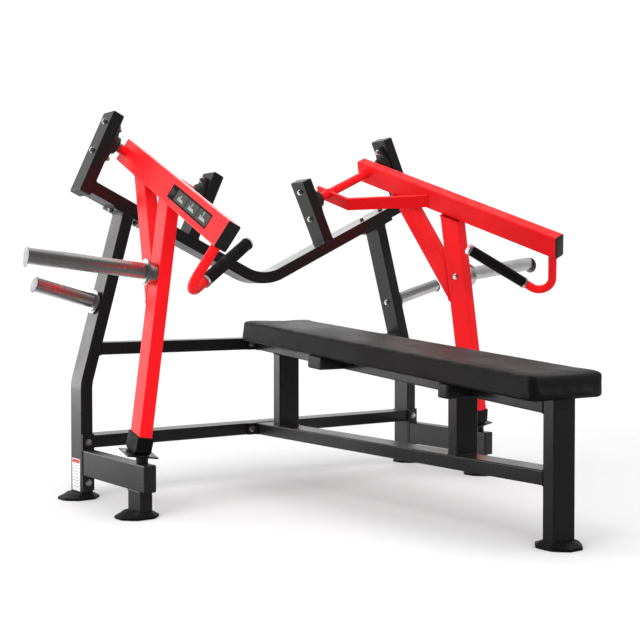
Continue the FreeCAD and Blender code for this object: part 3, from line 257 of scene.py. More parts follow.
def vinyl(name, colour):
    """Upholstery vinyl: embossed leather grain, creases between the pebbles with painted shade in
    them, soft sheen.
    """
    s = Shader(name, colour, 0.42, **{"Specular IOR Level": 0.22})
    warp = s.node("ShaderNodeMixRGB", {"Fac": 0.02}, blend_type="ADD")
    waver = s.node("ShaderNodeTexNoise", {"Scale": 240, "Detail": 2})
    s.join(s.place, waver.inputs["Vector"])
    s.join(s.place, warp.inputs[1])
    s.join(waver.outputs["Color"], warp.inputs[2])
    pebbles = s.cells(620, "DISTANCE_TO_EDGE", warp.outputs[0])
    crease = s.spread(pebbles, 0.0, 0.16, 0.0, 1.0)
    wrinkle = s.noise(150, 4, rough=0.6)
    leather = s.mottle(9, 4, colour, scaled(colour, 1.25))
    # Painted shade: the colour darkens to 0.55 of itself in the creases between the pebbles.
    s.drive(colour=s.mix(crease, scaled(colour, 0.55), leather),
            roughness=s.sum(s.spread(crease, 0.0, 1.0, 0.62, 0.40),
                            s.spread(s.noise(6, 3), 0.3, 0.7, -0.04, 0.06)),
            normal=s.bump(crease, 0.30, 0.0004, s.bump(wrinkle, 0.22, 0.0008)))
    return s.material


def backing_cloth(name, colour):
    """Thin woven dust cloth stretched over the plywood."""
    s = Shader(name, colour, 0.85, **{"Sheen Weight": 0.3})
    waves = []
    for direction in ("X", "Y"):
        wave = s.node("ShaderNodeTexWave", {"Scale": 260, "Distortion": 0.6, "Detail": 1},
                      bands_direction=direction)
        s.join(s.place, wave.inputs["Vector"])
        waves.append(wave.outputs["Fac"])
    weave = s.sum(waves[0], waves[1], "MAXIMUM")
    thread = s.mottle(30, 4, colour, scaled(colour, 1.4))
    # Painted shade: the colour halves in the gaps between the threads.
    s.drive(colour=s.mix(s.spread(weave, 0.5, 1.0, 0.0, 1.0), scaled(colour, 0.5), thread),
            normal=s.bump(weave, 0.5, 0.0005))
    return s.material


def printed_film(name, colour, roughness, shine=0.2):
    """Printed polyester label: even ink, faint mottling under a clear top film."""
    s = Shader(name, colour, roughness, **{"Specular IOR Level": shine})
    s.drive(colour=s.mottle(180, 3, colour, scaled(colour, 0.88), low=0.35),
            normal=s.bump(s.noise(90, 2), 0.08, 0.0004))
    return s.material


def studio_floor():
    """Pale seamless floor that fades out behind the machine, dim in reflections from the front."""
    s = Shader("studio_floor", (0.72, 0.72, 0.72), 0.75, **{"Specular IOR Level": 0.1})
    mirrored = s.node("ShaderNodeLightPath").outputs["Is Glossy Ray"]
    away = s.along(VIEW_AHEAD)
    aside = s.sum(s.along(VIEW_AHEAD.cross(Z)), 0.0, "ABSOLUTE")
    pale = s.mix(s.noise(2.5, 3), (0.73, 0.73, 0.735), (0.705, 0.705, 0.71))
    depth = s.spread(away, -0.6, 0.9, 0.0, 1.0)
    s.drive(colour=s.mix(mirrored, pale, s.mix(depth, (0.10, 0.10, 0.10), (0.62, 0.62, 0.62))))
    fade = s.sum(s.spread(away, 0.5, 2.9, 1.0, 0.0), s.spread(aside, 1.5, 3.4, 1.0, 0.0),
                 "MULTIPLY")
    clear = s.node("ShaderNodeBsdfTransparent")
    blend = s.node("ShaderNodeMixShader")
    s.join(s.sum(fade, mirrored, "MAXIMUM"), blend.inputs[0])
    s.join(clear.outputs[0], blend.inputs[1])
    s.join(s.shader.outputs[0], blend.inputs[2])
    s.join(blend.outputs[0], s.tree.nodes["Material Output"].inputs["Surface"])
    return s.material


BLACK = (0.0075, 0.0070, 0.0080)
RED = (0.82, 0.010, 0.014)
WHITE = (1.0, 1.0, 1.0)
FINISH = {
    "frame_paint": powder_coat("black_powder_coat", BLACK, (0.05, 0.05, 0.052), 0.27, 0.16,
                               0.5, WHITE),
    "arm_paint": powder_coat("red_powder_coat", RED, (0.60, 0.03, 0.03), 0.34, 0.14,
                             0.35, (1.0, 0.10, 0.10)),
    "horn_steel": chrome("plated_horn_steel", (0.62, 0.61, 0.61), 0.25, 900),
    "bearing_iron": cast_iron("painted_cast_iron", (0.010, 0.010, 0.011)),
    "pivot_steel": chrome("ground_pivot_steel", (0.52, 0.52, 0.53), 0.26, 1500),
    "zinc_fasteners": chrome("zinc_plated_steel", (0.70, 0.70, 0.69), 0.30, 600),
    "rubber": rubber("moulded_black_rubber", (0.0035, 0.0035, 0.0037)),
    "collar_metal": chrome("turned_aluminium", (0.80, 0.80, 0.81), 0.22, 1200),
    "plastic_caps": moulded_plastic("black_cap_plastic", (0.008, 0.008, 0.0085)),
    "upholstery": vinyl("black_upholstery_vinyl", (0.0040, 0.0037, 0.0041)),
    "plywood": backing_cloth("black_backing_cloth", (0.018, 0.018, 0.019)),
}
DECAL_FILM = printed_film("decal_black_film", (0.003, 0.003, 0.003), 0.5, 0.06)
DECAL_TILE = printed_film("decal_grey_tile", (0.060, 0.062, 0.058), 0.5, 0.06)
DECAL_INK = printed_film("decal_pale_ink", (0.36, 0.35, 0.33), 0.5, 0.06)
LABEL_PAPER = printed_film("label_white_film", (0.78, 0.78, 0.77), 0.4)
LABEL_BAND = printed_film("label_red_band", (0.55, 0.06, 0.04), 0.4)
LABEL_RULE = printed_film("label_grey_rule", (0.35, 0.35, 0.36), 0.4)
# Painted shade: a darker, rougher copy of the horn steel for the horns' end discs, so they stay dim
# instead of showing bright reflected light.
SHADED_END_DISC = chrome("horn_end_disc_painted_shade", (0.27, 0.27, 0.27), 0.42, 700)


# -------- mesh helpers

class Pile:
    """Vertices and faces gathered from several shapes into one piece."""

    def __init__(self):
        self.points, self.faces, self.kinds = [], [], []

    def add(self, points, faces, kind=0):
        start = len(self.points)
        self.points += [Vector(p) for p in points]
        self.faces += [tuple(start + i for i in face) for face in faces]
        self.kinds += [kind] * len(faces)

    def piece(self, name, materials, body, sharp=32, replaces=()):
        mesh = bpy.data.meshes.new(name)
        mesh.from_pydata([tuple(p) for p in self.points], [], self.faces)
        mesh.validate()
        cleaned = bmesh.new()
        cleaned.from_mesh(mesh)
        bmesh.ops.recalc_face_normals(cleaned, faces=cleaned.faces)
        cleaned.to_mesh(mesh)
        cleaned.free()
        for material in materials:
            mesh.materials.append(material)
        if len(self.kinds) == len(mesh.polygons):
            mesh.polygons.foreach_set("material_index", self.kinds)
        finished(mesh, name, sharp, body, replaces)


def placed(name, data):
    made = bpy.data.objects.new(name, data)
    bpy.context.scene.collection.objects.link(made)
    return made


def finished(mesh, name, sharp, body, replaces):
    """Puts a shaded mesh into the scene as a piece that rides on a body."""
    mesh.polygons.foreach_set("use_smooth", [True] * len(mesh.polygons))
    mesh.set_sharp_from_angle(angle=math.radians(sharp))
    made = placed(name, mesh)
    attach(made, body)
    if replaces:
        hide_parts(*replaces)
    return made


def node_points(node):
    return [vertex.co for vertex in NODES[node].data.vertices]


def merged(node):
    """A CAD node's mesh as a bmesh with its split vertices merged."""
    found = bmesh.new()
    found.from_mesh(NODES[node].data)
    bmesh.ops.remove_doubles(found, verts=found.verts, dist=1e-5)
    return found


def islands(shape):
    """The separate solids of a bmesh, each as a list of its vertices."""
    unseen = dict.fromkeys(shape.verts)        # a dict keeps the mesh's order
    found = []
    while unseen:
        queue = [unseen.popitem()[0]]
        solid = []
        while queue:
            vertex = queue.pop()
            solid.append(vertex)
            for edge in vertex.link_edges:
                other = edge.other_vert(vertex)
                if other in unseen:
                    del unseen[other]
                    queue.append(other)
        found.append(solid)
    return found


def long_axis(points):
    """Middle, direction and half length of a slender set of points."""
    cloud = np.array([tuple(p) for p in points])
    middle = (cloud.min(0) + cloud.max(0)) / 2
    spread = cloud - cloud.mean(0)
    axis = Vector(np.linalg.svd(spread, full_matrices=False)[2][0]).normalized()
    along = cloud @ np.array(axis)
    centre = Vector(middle)
    centre += axis * ((along.min() + along.max()) / 2 - centre.dot(axis))
    return centre, axis, (along.max() - along.min()) / 2


def across(axis):
    """Two directions square to an axis and to each other."""
    helper = Z if abs(axis.z) < 0.9 else X
    first = axis.cross(helper).normalized()
    return first, axis.cross(first)


def end_plane(shape, toward):
    """Point and normal of the flat face that lies farthest in a direction."""
    faces = [f for f in shape.faces if f.normal.dot(toward) > 0.9]
    best = max(faces, key=lambda f: f.calc_center_median().dot(toward))
    return best.calc_center_median(), best.normal.copy()


def section(shape, point, normal, near=None):
    """Longest closed outline where a plane cuts a shape, or the one nearest a point."""
    cut = shape.copy()
    result = bmesh.ops.bisect_plane(cut, geom=cut.verts[:] + cut.edges[:] + cut.faces[:],
                                    plane_co=point, plane_no=normal, dist=1e-7)
    edges = dict.fromkeys(g for g in result["geom_cut"] if isinstance(g, bmesh.types.BMEdge))
    loops = []
    while edges:
        start, here = edges.popitem()[0].verts
        loop = [start.co.copy()]
        while here is not start:
            loop.append(here.co.copy())
            following = next((e for e in here.link_edges if e in edges), None)
            if following is None:
                break
            del edges[following]
            here = following.other_vert(here)
        loops.append(loop)
    cut.free()
    if not loops:
        return []
    if near is not None:
        return min(loops, key=lambda lp: (sum(lp, Vector()) / len(lp) - near).length)
    return max(loops, key=lambda lp: sum((a - b).length for a, b in zip(lp, lp[1:] + lp[:1])))


def resampled(loop, step):
    """Points at even steps round a closed loop."""
    ring = loop + loop[:1]
    lengths = [0.0]
    for a, b in zip(ring, ring[1:]):
        lengths.append(lengths[-1] + (b - a).length)
    count = max(8, round(lengths[-1] / step))
    points = []
    index = 0
    for k in range(count):
        target = lengths[-1] * k / count
        while lengths[index + 1] < target:
            index += 1
        span = max(lengths[index + 1] - lengths[index], 1e-9)
        points.append(ring[index].lerp(ring[index + 1], (target - lengths[index]) / span))
    return points


def stacked(rings, steps):
    """Faces of a closed skin over rings of points, with a flat face on the first and the last."""
    faces = []
    for low in range(0, (rings - 1) * steps, steps):
        for k in range(steps):
            n = (k + 1) % steps
            faces.append((low + k, low + n, low + steps + n, low + steps + k))
    last = (rings - 1) * steps
    return faces + [tuple(range(steps))[::-1], tuple(range(last, last + steps))]


LEAST_RADIUS = 0.02 * MM       # keeps the points of a turned shape's middle apart


def lathed(pile, profile, foot, axis, steps=40, kind=0):
    """Adds a turned shape: profile is (radius, height) from the foot along the axis."""
    u, v = across(axis)
    points = []
    for radius, height in profile:
        for k in range(steps):
            a = 2 * math.pi * k / steps
            points.append(foot + axis * height
                          + (u * math.cos(a) + v * math.sin(a)) * max(radius, LEAST_RADIUS))
    pile.add(points, stacked(len(profile), steps), kind)


# -------- finishes of the CAD nodes

SLOT_OF = {entry["node"]: entry["material_slot"] for entry in frame["record"]["subparts"]}
for node_name, node_object in NODES.items():
    node_object.data.materials.clear()
    node_object.data.materials.append(FINISH[SLOT_OF[node_name]])


# -------- weld beads

BEAD_RADIUS = 2.6 * MM
BEAD_PITCH = 5.5 * MM
BEAD_STEP = 2.2 * MM
BEAD_SIDES = 7
BEAD_LIFT = 0.3 * MM           # how far from a joint's face a bead's middle lies


def bead(pile, loop, normal):
    """A rippled weld bead along a flat closed outline."""
    centres = resampled(loop, BEAD_STEP)
    count = len(centres)
    points, faces = [], []
    for k, centre in enumerate(centres):
        tangent = (centres[(k + 1) % count] - centres[k - 1]).normalized()
        side = tangent.cross(normal).normalized()
        ripple = abs(math.sin(math.pi * k * BEAD_STEP / BEAD_PITCH))
        uneven = noise.noise(centre * 90) * 0.12
        r = BEAD_RADIUS * (0.86 + 0.18 * ripple + uneven)
        for j in range(BEAD_SIDES):
            a = 2 * math.pi * j / BEAD_SIDES
            points.append(centre + (side * math.cos(a) + normal * math.sin(a)) * r)
    for k in range(count):
        n = (k + 1) % count
        for j in range(BEAD_SIDES):
            m = (j + 1) % BEAD_SIDES
            faces.append((k * BEAD_SIDES + j, n * BEAD_SIDES + j,
                          n * BEAD_SIDES + m, k * BEAD_SIDES + m))
    pile.add(points, faces)


def weld_level(pile, shape, point, normal, near=None):
    """Bead where a plane cuts a shape."""
    loop = section(shape, point, normal, near)
    if len(loop) > 3:
        bead(pile, loop, normal)


def weld_node(pile, node, point, normal, near=None):
    """Bead where a plane cuts a node."""
    shape = merged(node)
    weld_level(pile, shape, point, normal, near)
    shape.free()


def weld_end(pile, node, toward, set_back=BEAD_LIFT):
    """Bead round the end of a tube, where it meets what it is welded to."""
    shape = merged(node)
    point, normal = end_plane(shape, toward)
    weld_level(pile, shape, point - normal * set_back, normal)
    shape.free()


FLANGE = 8 * MM                # thickness of the welded-on flanges
BESIDE = 0.4 * MM              # a bead's middle, off the wall of a tube that is passed through
BEHIND_FLANGE = FLANGE + 0.5 * MM
CROSS_INSET = 3 * MM           # from a cross tube's outermost point to its weld
BEAM_HALF = 20 * MM            # half the thickness of an arm's beam
BRACE_THICK = 10 * MM
PIVOT = {}
for joint in frame["joints"]:
    word = joint["name"].split("_")[0]
    away = Vector(joint["axis"]).normalized()
    if away.x * dict(SIDES)[word] < 0:
        away.negate()
    PIVOT[word] = (Vector(joint["pos_m"]), away)


def arm_axes(word):
    """Pivot, outward direction, direction along the arm's beam, and up from it."""
    pivot, outward = PIVOT[word]
    ahead = long_axis(node_points(f"{word}_arm_beam"))[1]
    if ahead.y > 0:
        ahead.negate()
    above = outward.cross(ahead).normalized()
    if above.z < 0:
        above.negate()
    return pivot, outward, ahead, above


def frame_welds():
    pile = Pile()
    for word, side in SIDES:
        weld_end(pile, f"{word}_front_post", Z)
        beam_low, beam_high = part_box(f"{word}_side_beam")
        weld_node(pile, f"{word}_side_beam", Vector((0, beam_high.y - BEHIND_FLANGE, 0)), Y)
        outward = PIVOT[word][1]
        square = Vector((-outward.z * side, 0, abs(outward.x)))
        weld_end(pile, f"{word}_inner_bearing_post", -square)
        weld_end(pile, "top_beam", outward)
        weld_end(pile, f"{word}_upright", square, BEHIND_FLANGE)
        for node in ("lower_cross_tube", "upper_cross_tube"):
            weld_node(pile, node, X * side * (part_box(node)[1].x - CROSS_INSET), X * side)
        neck_foot = beam_high.z + BESIDE
        near = Vector(((beam_high.x + beam_low.x) / 2, 0, neck_foot))
        weld_node(pile, "landing_plates", Vector((0, 0, neck_foot)), Z, near)
    for node in ("bench_top_rail", "bench_base_tube"):
        weld_node(pile, node, Vector((0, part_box(node)[1].y - BEHIND_FLANGE, 0)), Y)
    weld_end(pile, "bench_base_tube", -Y)
    for node in ("bench_rear_post", "bench_mid_post"):
        weld_end(pile, node, Z)
        weld_end(pile, node, -Z)
    weld_end(pile, "bench_top_rail", -Y)
    supports = merged("pad_supports")
    for solid in islands(supports):
        side = math.copysign(1, sum(v.co.x for v in solid))
        root = min(abs(v.co.x) for v in solid)
        middle = sum((v.co for v in solid), Vector()) / len(solid)
        plane = X * side * (root + BEAD_LIFT)
        weld_level(pile, supports, plane, X, Vector((plane.x, middle.y, middle.z)))
    supports.free()
    pile.piece("frame_weld_beads", [FINISH["frame_paint"]], "frame", sharp=60)


def arm_welds(word):
    pile = Pile()
    pivot, outward, ahead, above = arm_axes(word)
    for node in ("arm_leg", "leg_strut", "handle"):
        weld_end(pile, f"{word}_{node}", above)
    inner = min((p - pivot).dot(outward) for p in node_points(f"{word}_arm_brace"))
    for offset in (-BEAM_HALF - BESIDE, BEAM_HALF + BESIDE, inner - BESIDE,
                   inner + BRACE_THICK + BESIDE):
        weld_node(pile, f"{word}_pivot_tube", pivot + outward * offset, outward)
    weld_node(pile, f"{word}_arm_brace", pivot - outward * (BEAM_HALF + 0.6 * MM), outward)
    leg = merged(f"{word}_arm_leg")
    rear_face, rear_normal = end_plane(leg, Y)
    leg.free()
    weld_node(pile, f"{word}_leg_strut", rear_face + rear_normal * 0.5 * MM, rear_normal)
    pile.piece(f"{word}_arm_weld_beads", [FINISH["arm_paint"]], f"{word}_arm",
               sharp=60)


frame_welds()
for side_word, _ in SIDES:
    arm_welds(side_word)


# -------- bolts

HEAD_FLATS = 7.4 * MM          # from the axis to a flat
HEAD_DEPTH = 6.5 * MM
DISH = 0.35 * MM               # sunk into the top of a bolt's head
WASHER_RADIUS = 10.5 * MM
WASHER_DEPTH = 2 * MM
WASHER_EDGE = 0.4 * MM
SHANK_RADIUS = 5 * MM
THREAD_STUB = 3 * MM
THREAD_PITCH = 1.25 * MM
TOP_FLANGE_LEVEL = 0.85        # upper frame bolts above this pass down through the top flanges
BEARING_MIDDLE = 0.4           # bearing posts stand on both sides of this, out from the middle


def hexagon(pile, foot, axis, turn, hollow_top):
    """Hexagon head or nut with its corners turned off by a 30 degree chamfer."""
    u, v = across(axis)
    steps = 48
    rim = HEAD_FLATS * 0.97
    top = HEAD_DEPTH - (DISH if hollow_top else 0)
    columns = []
    for k in range(steps):
        a = 2 * math.pi * k / steps
        corner = (a + math.pi / 6) % (math.pi / 3) - math.pi / 6
        r = HEAD_FLATS / math.cos(corner)
        drop = max(r - rim, 0) * math.tan(math.radians(30))
        out = u * math.cos(a + turn) + v * math.sin(a + turn)
        profile = ((min(r, HEAD_FLATS * 1.06), 0), (r, max(DISH, drop * 0.4)),
                   (r, HEAD_DEPTH - drop - 0.15 * MM), (rim * 0.98, HEAD_DEPTH), (rim * 0.72, top))
        columns.append([foot + axis * height + out * radius for radius, height in profile])
    rings = list(zip(*columns))
    pile.add([point for ring in rings for point in ring], stacked(len(rings), steps))


def washer(pile, foot, axis):
    flat = WASHER_RADIUS - WASHER_EDGE
    lathed(pile, [(flat, 0), (WASHER_RADIUS, WASHER_EDGE),
                  (WASHER_RADIUS, WASHER_DEPTH - WASHER_EDGE), (flat, WASHER_DEPTH)],
           foot, axis, 48)


def threaded_end(pile, foot, axis):
    """Last turns of the thread, with a chamfered tip."""
    profile = [(SHANK_RADIUS, 0)]
    for i in range(int(THREAD_STUB / THREAD_PITCH)):
        profile += [(SHANK_RADIUS - 0.6 * MM, THREAD_PITCH * (i + 0.5)),
                    (SHANK_RADIUS, THREAD_PITCH * (i + 1))]
    profile += [(SHANK_RADIUS - 0.9 * MM, THREAD_STUB), (0, THREAD_STUB)]
    lathed(pile, profile, foot, axis, 24)


def better_bolts(node, body, head_toward, draw):
    """Bolts with chamfered heads, washers, nuts and thread ends in place of a node of plain ones."""
    shape = merged(node)
    pile = Pile()
    for solid in sorted(islands(shape), key=lambda s: tuple(np.round(s[0].co, 4))):
        centre, axis, half = long_axis([v.co for v in solid])
        if axis.dot(head_toward(centre)) < 0:
            axis.negate()
        under = half - HEAD_DEPTH - WASHER_DEPTH
        for end in (1, -1):
            seat = centre + axis * end * under
            washer(pile, seat, axis * end)
            hexagon(pile, seat + axis * end * WASHER_DEPTH, axis * end,
                    draw.uniform(0, math.pi / 3), end == 1)
        threaded_end(pile, centre - axis * half, -axis)
        lathed(pile, [(SHANK_RADIUS, 0), (SHANK_RADIUS, 2 * under)], centre - axis * under, axis, 24)
    shape.free()
    pile.piece(f"{node}_turned", [FINISH["zinc_fasteners"]], body,
               sharp=28, replaces=(node,))


draw = random.Random(7)
better_bolts("flange_bolts", "frame", lambda p: -Y, draw)
better_bolts("upper_frame_bolts", "frame",
             lambda p: Z if p.z > TOP_FLANGE_LEVEL else X * -p.x, draw)
better_bolts("bearing_bolts", "frame",
             lambda p: X * (1 if abs(p.x) > BEARING_MIDDLE else -1) * p.x, draw)
for side_word, side_sign in SIDES:
    better_bolts(f"{side_word}_horn_bolt", f"{side_word}_arm",
                 lambda p, s=side_sign: X * -s, draw)


# -------- moulded and cast pieces

def softened(node, name, width, segments):
    """A copy of a CAD node whose sharp edges are rounded over, in the node's place."""
    shape = merged(node)
    bmesh.ops.dissolve_limit(shape, angle_limit=math.radians(1.5),
                             verts=shape.verts, edges=shape.edges)
    edges = [e for e in shape.edges if len(e.link_faces) == 2
             and e.calc_face_angle(0) > math.radians(25)]
    bmesh.ops.bevel(shape, geom=edges, offset=width, offset_type="OFFSET", segments=segments,
                    profile=0.5, affect="EDGES", clamp_overlap=True)
    mesh = bpy.data.meshes.new(name)
    shape.to_mesh(mesh)
    shape.free()
    mesh.materials.append(FINISH[SLOT_OF[node]])
    return finished(mesh, name, 35, NODES[node]["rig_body"], (node,))


BORE_EASE = 0.3 * MM       # keeps the flat facets of a bore off the ring that turns in it


def eased_bore(castings, word):
    """Opens the bores of the bearing castings a little, so the turned ring's facets stay clear."""
    pivot, outward = PIVOT[word]

    def off_axis(point):
        return point - pivot - outward * (point - pivot).dot(outward)

    ring_reach = max(off_axis(point).length for point in node_points(f"{word}_bearing_rings"))
    for vertex in castings.data.vertices:
        reach = off_axis(vertex.co)
        if reach.length < ring_reach + 0.2 * MM:
            vertex.co += reach.normalized() * BORE_EASE


for side_word, _ in SIDES:
    softened(f"{side_word}_leg_boot", f"{side_word}_rubber_boot", 4 * MM, 4)
    eased_bore(softened(f"{side_word}_bearings", f"{side_word}_bearing_castings", 2.2 * MM, 3),
               side_word)
softened("landing_plates", "landing_plates_eased", 1.2 * MM, 2)


def rounded_rectangle(half_long, half_wide, radius):
    """Corner-rounded rectangle round the origin."""
    steps = 6
    points = []
    for sx, sy, start in ((1, 1, 0), (-1, 1, 90), (-1, -1, 180), (1, -1, 270)):
        for k in range(steps + 1):
            a = math.radians(start + 90 * k / steps)
            points.append((sx * (half_long - radius) + radius * math.cos(a),
                           sy * (half_wide - radius) + radius * math.sin(a)))
    return points


CAP_CORNER = 6 * MM
CAP_LEAST_CORNER = 1 * MM
DOME = ((0.0, 0.0), (0.3, 0.0), (0.5, 0.12), (0.68, 0.32), (0.82, 0.62), (0.92, 1.0),
        (0.97, 1.8), (1.0, 3.0))     # share of the cap's height, inset in cap heights


def domed_caps(node, name):
    """Moulded tube caps: flush sides, and an outer face that rounds over into a low dome."""
    shape = merged(node)
    bmesh.ops.dissolve_limit(shape, angle_limit=math.radians(1.5),
                             verts=shape.verts, edges=shape.edges)
    pile = Pile()
    for solid in islands(shape):
        seat = max((face for vertex in solid for face in vertex.link_faces),
                   key=lambda face: face.calc_area())
        out = -seat.normal
        foot = seat.calc_center_median()
        longest = max(seat.edges, key=lambda edge: edge.calc_length())
        along = (longest.verts[1].co - longest.verts[0].co).normalized()
        side = out.cross(along)
        half_long = max(abs((v.co - foot).dot(along)) for v in seat.verts)
        half_wide = max(abs((v.co - foot).dot(side)) for v in seat.verts)
        tall = max((v.co - foot).dot(out) for v in solid)
        points = []
        for share, inset in DOME:
            shrink = inset * tall
            rim = rounded_rectangle(half_long - shrink, half_wide - shrink,
                                    max(CAP_CORNER - shrink, CAP_LEAST_CORNER))
            points += [foot + along * x + side * y + out * (share * tall) for x, y in rim]
        pile.add(points, stacked(len(DOME), len(rim)))
    shape.free()
    pile.piece(name, [FINISH["plastic_caps"]], NODES[node]["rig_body"], sharp=50,
               replaces=(node,))


def rounded_outline(low, high, cut, radius):
    """Outline of a rectangle with cut, slightly rounded corners, as evenly turned points."""
    count = 96
    cx, cy = (low[0] + high[0]) / 2, (low[1] + high[1]) / 2
    a, b = (high[0] - low[0]) / 2, (high[1] - low[1]) / 2
    sides = [(1, 0, a), (-1, 0, a), (0, 1, b), (0, -1, b)]     # outward normal, distance
    if cut > 0:
        slant = math.sqrt(0.5)
        sides += [(sx * slant, sy * slant, (a + b - cut) * slant)
                  for sx in (1, -1) for sy in (1, -1)]
    points = []
    for k in range(count):
        t = 2 * math.pi * k / count
        dx, dy = math.cos(t), math.sin(t)
        reach = [d / (nx * dx + ny * dy) for nx, ny, d in sides if nx * dx + ny * dy > 1e-6]
        # A soft minimum rounds the corners over.
        r = -math.log(sum(math.exp(-v / radius) for v in reach)) * radius
        points.append((cx + dx * r, cy + dy * r))
    return points


FOOT_CUT = 34 * MM             # across each cut corner of a foot
FOOT_CORNER = 1.6 * MM
SOCKET_GAP = 0.4 * MM          # between a foot's collar and its tube
SOCKET_CORNER = 1.2 * MM
FOOT_LEVELS = [  # share of the way in from the rim to the tube, height in foot heights
    (0.02, 0.0), (0.0, 0.10), (0.0, 0.34), (0.03, 0.43), (0.09, 0.46), (0.16, 0.50),
    (0.30, 0.68), (0.48, 0.84), (0.66, 0.93), (0.80, 0.97), (0.86, 1.0), (0.97, 1.0),
    (1.0, 0.93), (1.0, 0.60),
]


def rubber_feet(node, name, tubes):
    """Moulded feet: a flat rim, a domed top and a raised collar round the tube."""
    shape = merged(node)
    pile = Pile()
    for solid in islands(shape):
        low = [min(v.co[i] for v in solid) for i in range(3)]
        high = [max(v.co[i] for v in solid) for i in range(3)]
        tube_low, tube_high = min(tubes, key=lambda t: math.hypot(
            *(t[0][i] + t[1][i] - low[i] - high[i] for i in range(2))))
        rim = rounded_outline(low, high, FOOT_CUT, FOOT_CORNER)
        hug = rounded_outline([edge - SOCKET_GAP for edge in tube_low],
                              [edge + SOCKET_GAP for edge in tube_high], 0, SOCKET_CORNER)
        points = []
        for share, height in FOOT_LEVELS:
            for (ax, ay), (bx, by) in zip(rim, hug):
                points.append(Vector((ax + (bx - ax) * share, ay + (by - ay) * share,
                                      low[2] + (high[2] - low[2]) * height)))
        pile.add(points, stacked(len(FOOT_LEVELS), len(rim)))
    shape.free()
    pile.piece(name, [FINISH["rubber"]], "frame", sharp=38, replaces=(node,))


def tube_footprints():
    """Where the frame's tubes stand: two posts a side."""
    found = []
    rear_low, rear_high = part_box("lower_cross_tube")
    for word, _ in SIDES:
        low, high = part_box(f"{word}_front_post")
        found += [((low.x, low.y), (high.x, high.y)), ((low.x, rear_low.y), (high.x, rear_high.y))]
    return found


domed_caps("frame_tube_caps", "frame_end_caps")
for side_word, _ in SIDES:
    domed_caps(f"{side_word}_arm_beam_cap", f"{side_word}_beam_end_cap")
rubber_feet("corner_feet", "corner_rubber_feet", tube_footprints())
leg_low, leg_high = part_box("bench_front_leg")
rubber_feet("bench_foot", "bench_rubber_foot",
            [((leg_low.x, leg_low.y), (leg_high.x, leg_high.y))])


# -------- hand grips and horn ends

GRIP_END = ((3.0, 0.0), (0.8, 0.3), (0.0, 1.6), (0.0, 4.0), (0.9, 5.2))   # mm in, mm along
GRIP_RING = ((0.0, 0.9), (0.18, 0.45), (0.5, 0.3), (0.82, 0.45))   # share of a ring, mm in
GRIP_RINGS = 30
GRIP_PLAIN = 8 * MM            # from each end to the first ring
GRIP_SWELL = 0.5 * MM          # how much the barrel stands out in its middle


def hand_grip(word):
    """Rubber grip: a slim barrel with a bead at each end and shallow finger rings."""
    node = f"{word}_hand_grip"
    points = node_points(node)
    centre, axis, half = long_axis(points)
    outer = max((p - centre - axis * (p - centre).dot(axis)).length for p in points)
    profile = [(outer - inset * MM, height * MM) for inset, height in GRIP_END]
    for i in range(GRIP_RINGS):
        for share, sink in GRIP_RING:
            height = GRIP_PLAIN + 2 * (half - GRIP_PLAIN) * (i + share) / GRIP_RINGS
            barrel = GRIP_SWELL * math.sin(math.pi * height / (2 * half))
            profile.append((outer - sink * MM + barrel, height))
    profile += [(outer - inset * MM, 2 * half - height * MM)
                for inset, height in reversed(GRIP_END)]
    pile = Pile()
    lathed(pile, profile, centre - axis * half, axis, 56)
    pile.piece(f"{word}_ribbed_grip", [FINISH["rubber"]], f"{word}_arm", sharp=50,
               replaces=(node,))


HUB_RADIUS = 33 * MM
HUB_FLARE = 3 * MM             # how much wider the hub is at its stop ring
HUB_START = 2.5 * MM           # clear of the root's slant
DISC_RIM = ((0.6, -0.5), (0.4, 0.4), (1.0, 0.8), (2.2, 0.8), (3.2, 0.25), (4.4, 0.1))
#            mm in from the tube's lip, mm out from its tip


def horn_end(word, kind, body):
    """Pressed-in end disc on a plate horn's tip, in a darker copy of the horn steel as painted
    shade, and the hub between its stop ring and its root.
    """
    points = node_points(f"{word}_{kind}_horn")
    centre, axis, half = long_axis(points)
    if axis.x * dict(SIDES)[word] < 0:
        axis.negate()
    tip = centre + axis * half
    spots = [((p - tip).dot(axis), (p - tip - axis * (p - tip).dot(axis)).length) for p in points]
    lip = max(reach for height, reach in spots if height > -0.5 * MM)
    pile = Pile()
    profile = [(lip - inset * MM, height * MM) for inset, height in DISC_RIM]
    # The end disc takes the second material, the darker copy of the horn steel that paints shade on
    # it.
    lathed(pile, profile + [(lip * 0.3, 0.35 * MM), (0, 0.4 * MM)], tip, axis, 56, 1)
    ring_reach = max(reach for _, reach in spots)
    ring_start = min(height for height, reach in spots if reach > ring_reach - 0.2 * MM)
    hub_start = min(height for height, reach in spots if reach > lip) + HUB_START
    depth = ring_start - hub_start
    if depth > 4 * MM:
        lathed(pile, [(HUB_RADIUS - 2 * HUB_FLARE, 0), (HUB_RADIUS, 0), (HUB_RADIUS, depth * 0.35),
                      (HUB_RADIUS + HUB_FLARE, depth * 0.75), (HUB_RADIUS + HUB_FLARE, depth),
                      (HUB_RADIUS - 2 * HUB_FLARE, depth)], tip + axis * hub_start, axis, 56)
    pile.piece(f"{word}_{kind}_horn_end", [FINISH["horn_steel"], SHADED_END_DISC], body,
               sharp=40)


for side_word, _ in SIDES:
    hand_grip(side_word)
    horn_end(side_word, "weight", f"{side_word}_arm")
    horn_end(side_word, "storage", "frame")


# -------- bench pad

PAD_SIDE_PULL = 2.0 * MM       # the sewn cover starts this much inside its final shape
PAD_CROWN = 3.5 * MM           # most that the pressed foam may stand out
PAD_CORNER = 17 * MM           # seen from above
PAD_TOP_EDGE = 7 * MM
PAD_LOW_EDGE = 6 * MM
VOXEL = 6 * MM
HELD_HEIGHT = 9 * MM           # the cover is stapled to the board below this
CLOTH_STEPS = 20
TUCK = 1.6 * MM                # how far the cover's lower edge draws in under the board
PUCKER = 0.9 * MM
PUCKERS_PER_METRE = 28


